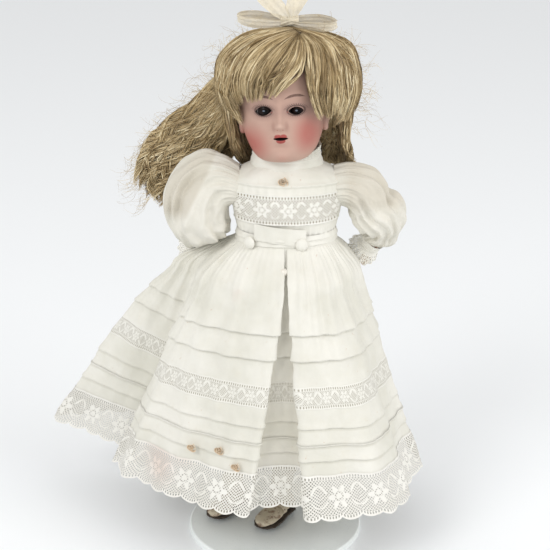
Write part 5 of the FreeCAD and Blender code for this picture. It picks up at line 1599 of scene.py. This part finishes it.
loose_lines += (curl * np.sin(turn) + other_curl * np.cos(turn)) * reach * 0.28 * way
loose_lines[..., 2] -= reach[..., 0] * 0.3 * way[..., 0] ** 2
hair_piece(
    "loose_hairs", loose_lines, 0.00010, rng.uniform(0.25, 0.8, loose_count), rng.uniform(0, pi, loose_count)
)

# the cap under the hair is painted near black, as the shade between the strands
cap_net_and_shade = mottled("wig_cap_and_shade", 900.0, 3.0, (0.045, 0.030, 0.016), (0.13, 0.09, 0.05), Roughness=0.8)


def cap_net_place(u, v):
    angle = tau * (u - 0.5)
    ahead = 0.5 + 0.5 * cos(angle)
    lower = float(np.interp(ahead, (0, 0.45, 0.75, 0.92), (0.14, 0.40, 0.66, 0.93)))
    if v < 0.8:
        height = 1.09 + (lower - 1.09) * v / 0.8
        return Vector(cap_point(angle, height, 0.90 - 0.06 * v))
    tuck = (v - 0.8) / 0.2
    return Vector(cap_point(angle, lower + 0.03 * tuck, 0.852 - 0.16 * tuck))


add_piece("wig_cap_net", cloth_grid(96, 60, cap_net_place), "doll", "hair", cap_net_and_shade)

# Ribbon bow
# Sheer cream ribbon, tied in a bow on the crown with two loops and two ends that stand up.
# It is pinched at the knot and creased along its length.
sheer = Finish("sheer_ribbon", Roughness=0.5, Sheen_Weight=0.25)
sheer_uv = sheer.uv()
sheer_run, sheer_across = sheer.axis(sheer_uv, "X"), sheer.axis(sheer_uv, "Y")
sheer_crease = sheer.noise(sheer.place(), 160.0, 3.0)
sheer_thread = sheer.sine(sheer_across * 160.0) * sheer.sine(sheer_run * 900.0)
selvedge = 1 - sheer.band(sheer_across, 0.06, 0.94, 0.012)
sheer.set(
    Base_Color=sheer.mix(sheer_crease, (0.70, 0.62, 0.46), (0.84, 0.76, 0.60)),
    Alpha=sheer.most(sheer.step(sheer_crease + sheer_thread * 0.05, 0.3, 0.7, 0.76, 0.94), selvedge * 0.95),
    Normal=sheer.bump(sheer_crease + sheer_thread * 0.1, 0.0008, 0.6),
)
knot = sum(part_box("bow_knot"), Vector()) / 2


def ribbon_strip(name, path, widths, up, crease, replaced=None, length=80):
    """A ribbon along a path, as broad as the widths, whose breadth runs along up."""
    dense = smooth_through(np.array(path), np.linspace(0, 1, length + 1))
    run = unit(np.gradient(dense, axis=0))
    breadth = np.interp(np.linspace(0, 1, length + 1), np.linspace(0, 1, len(widths)), widths)
    over = unit(np.array(up) - run * (run @ np.array(up))[:, None])
    out = np.cross(run, over)
    span = (breadth.max() - breadth) / breadth.max()

    def strip_point(u, v):
        k = round(u * length)
        ripple = sin(v * pi * 5 + 1.3 * u) * crease * (0.25 + span[k])
        ripple += crease * 0.6 * sin(u * 9 + v * 3)
        return Vector(dense[k] + over[k] * breadth[k] * (0.5 - v) + out[k] * ripple)

    piece = add_piece(name, cloth_grid(length, 16, strip_point), "doll", "ribbon", sheer)
    if replaced:
        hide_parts(replaced)


# Middle line of a loop, away from the knot, behind it and above it, in millimetres
loop_line = [
    (0, -2, 0), (9, -5, -1.2), (22, -7, -1.2), (31, -5, -0.4), (35, 0, 1.2), (31, 5, 2.6), (21, 6.5, 3.0),
    (8, 4, 2.0), (0, 2, 0.8),
]
loop_widths = (0.0046, 0.0082, 0.0100, 0.0088, 0.0066, 0.0084, 0.0096, 0.0080, 0.0046)
for hand, side, climb in (("right", -1.12, 0.06), ("left", 1.02, -0.08)):
    path = [tuple(knot + Vector((side * x, y, z + climb * x - 0.4)) * 0.001) for x, y, z in loop_line]
    ribbon_strip(
        hand + "_bow_loop", path, loop_widths, (0, -0.70, 1), 0.0005, "bow_loops" if side < 0 else None
    )
tail_widths = (0.0050, 0.0120, 0.0145, 0.0150)
tail_paths = {
    "right": [(-1, -2, 2), (-8, -1, 9), (-17, 1, 18), (-24, 3, 28)],
    "left": [(2, -1, 2), (3, -1, 10), (7, 0, 19), (14, 2, 29)],
}
for hand, path in tail_paths.items():
    line = [tuple(knot + Vector(place) * 0.001) for place in path]
    lean, replaced = (0.6, "bow_tails") if hand == "right" else (-0.3, None)
    ribbon_strip(hand + "_bow_tail", line, tail_widths, (1, 0, lean), 0.0006, replaced, 50)


def knot_place(u, v):
    turn = tau * u
    across = v - 0.5
    pinch = 0.0030 + 0.0010 * abs(2 * across) ** 1.5 + 0.00030 * sin(7 * turn + 9 * across)
    return knot + Vector((across * 0.0135, cos(turn) * pinch * 1.2, sin(turn) * pinch))


knot_piece = add_piece("ribbon_knot", cloth_grid(48, 14, knot_place), "doll", "ribbon", sheer)
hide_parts("bow_knot")
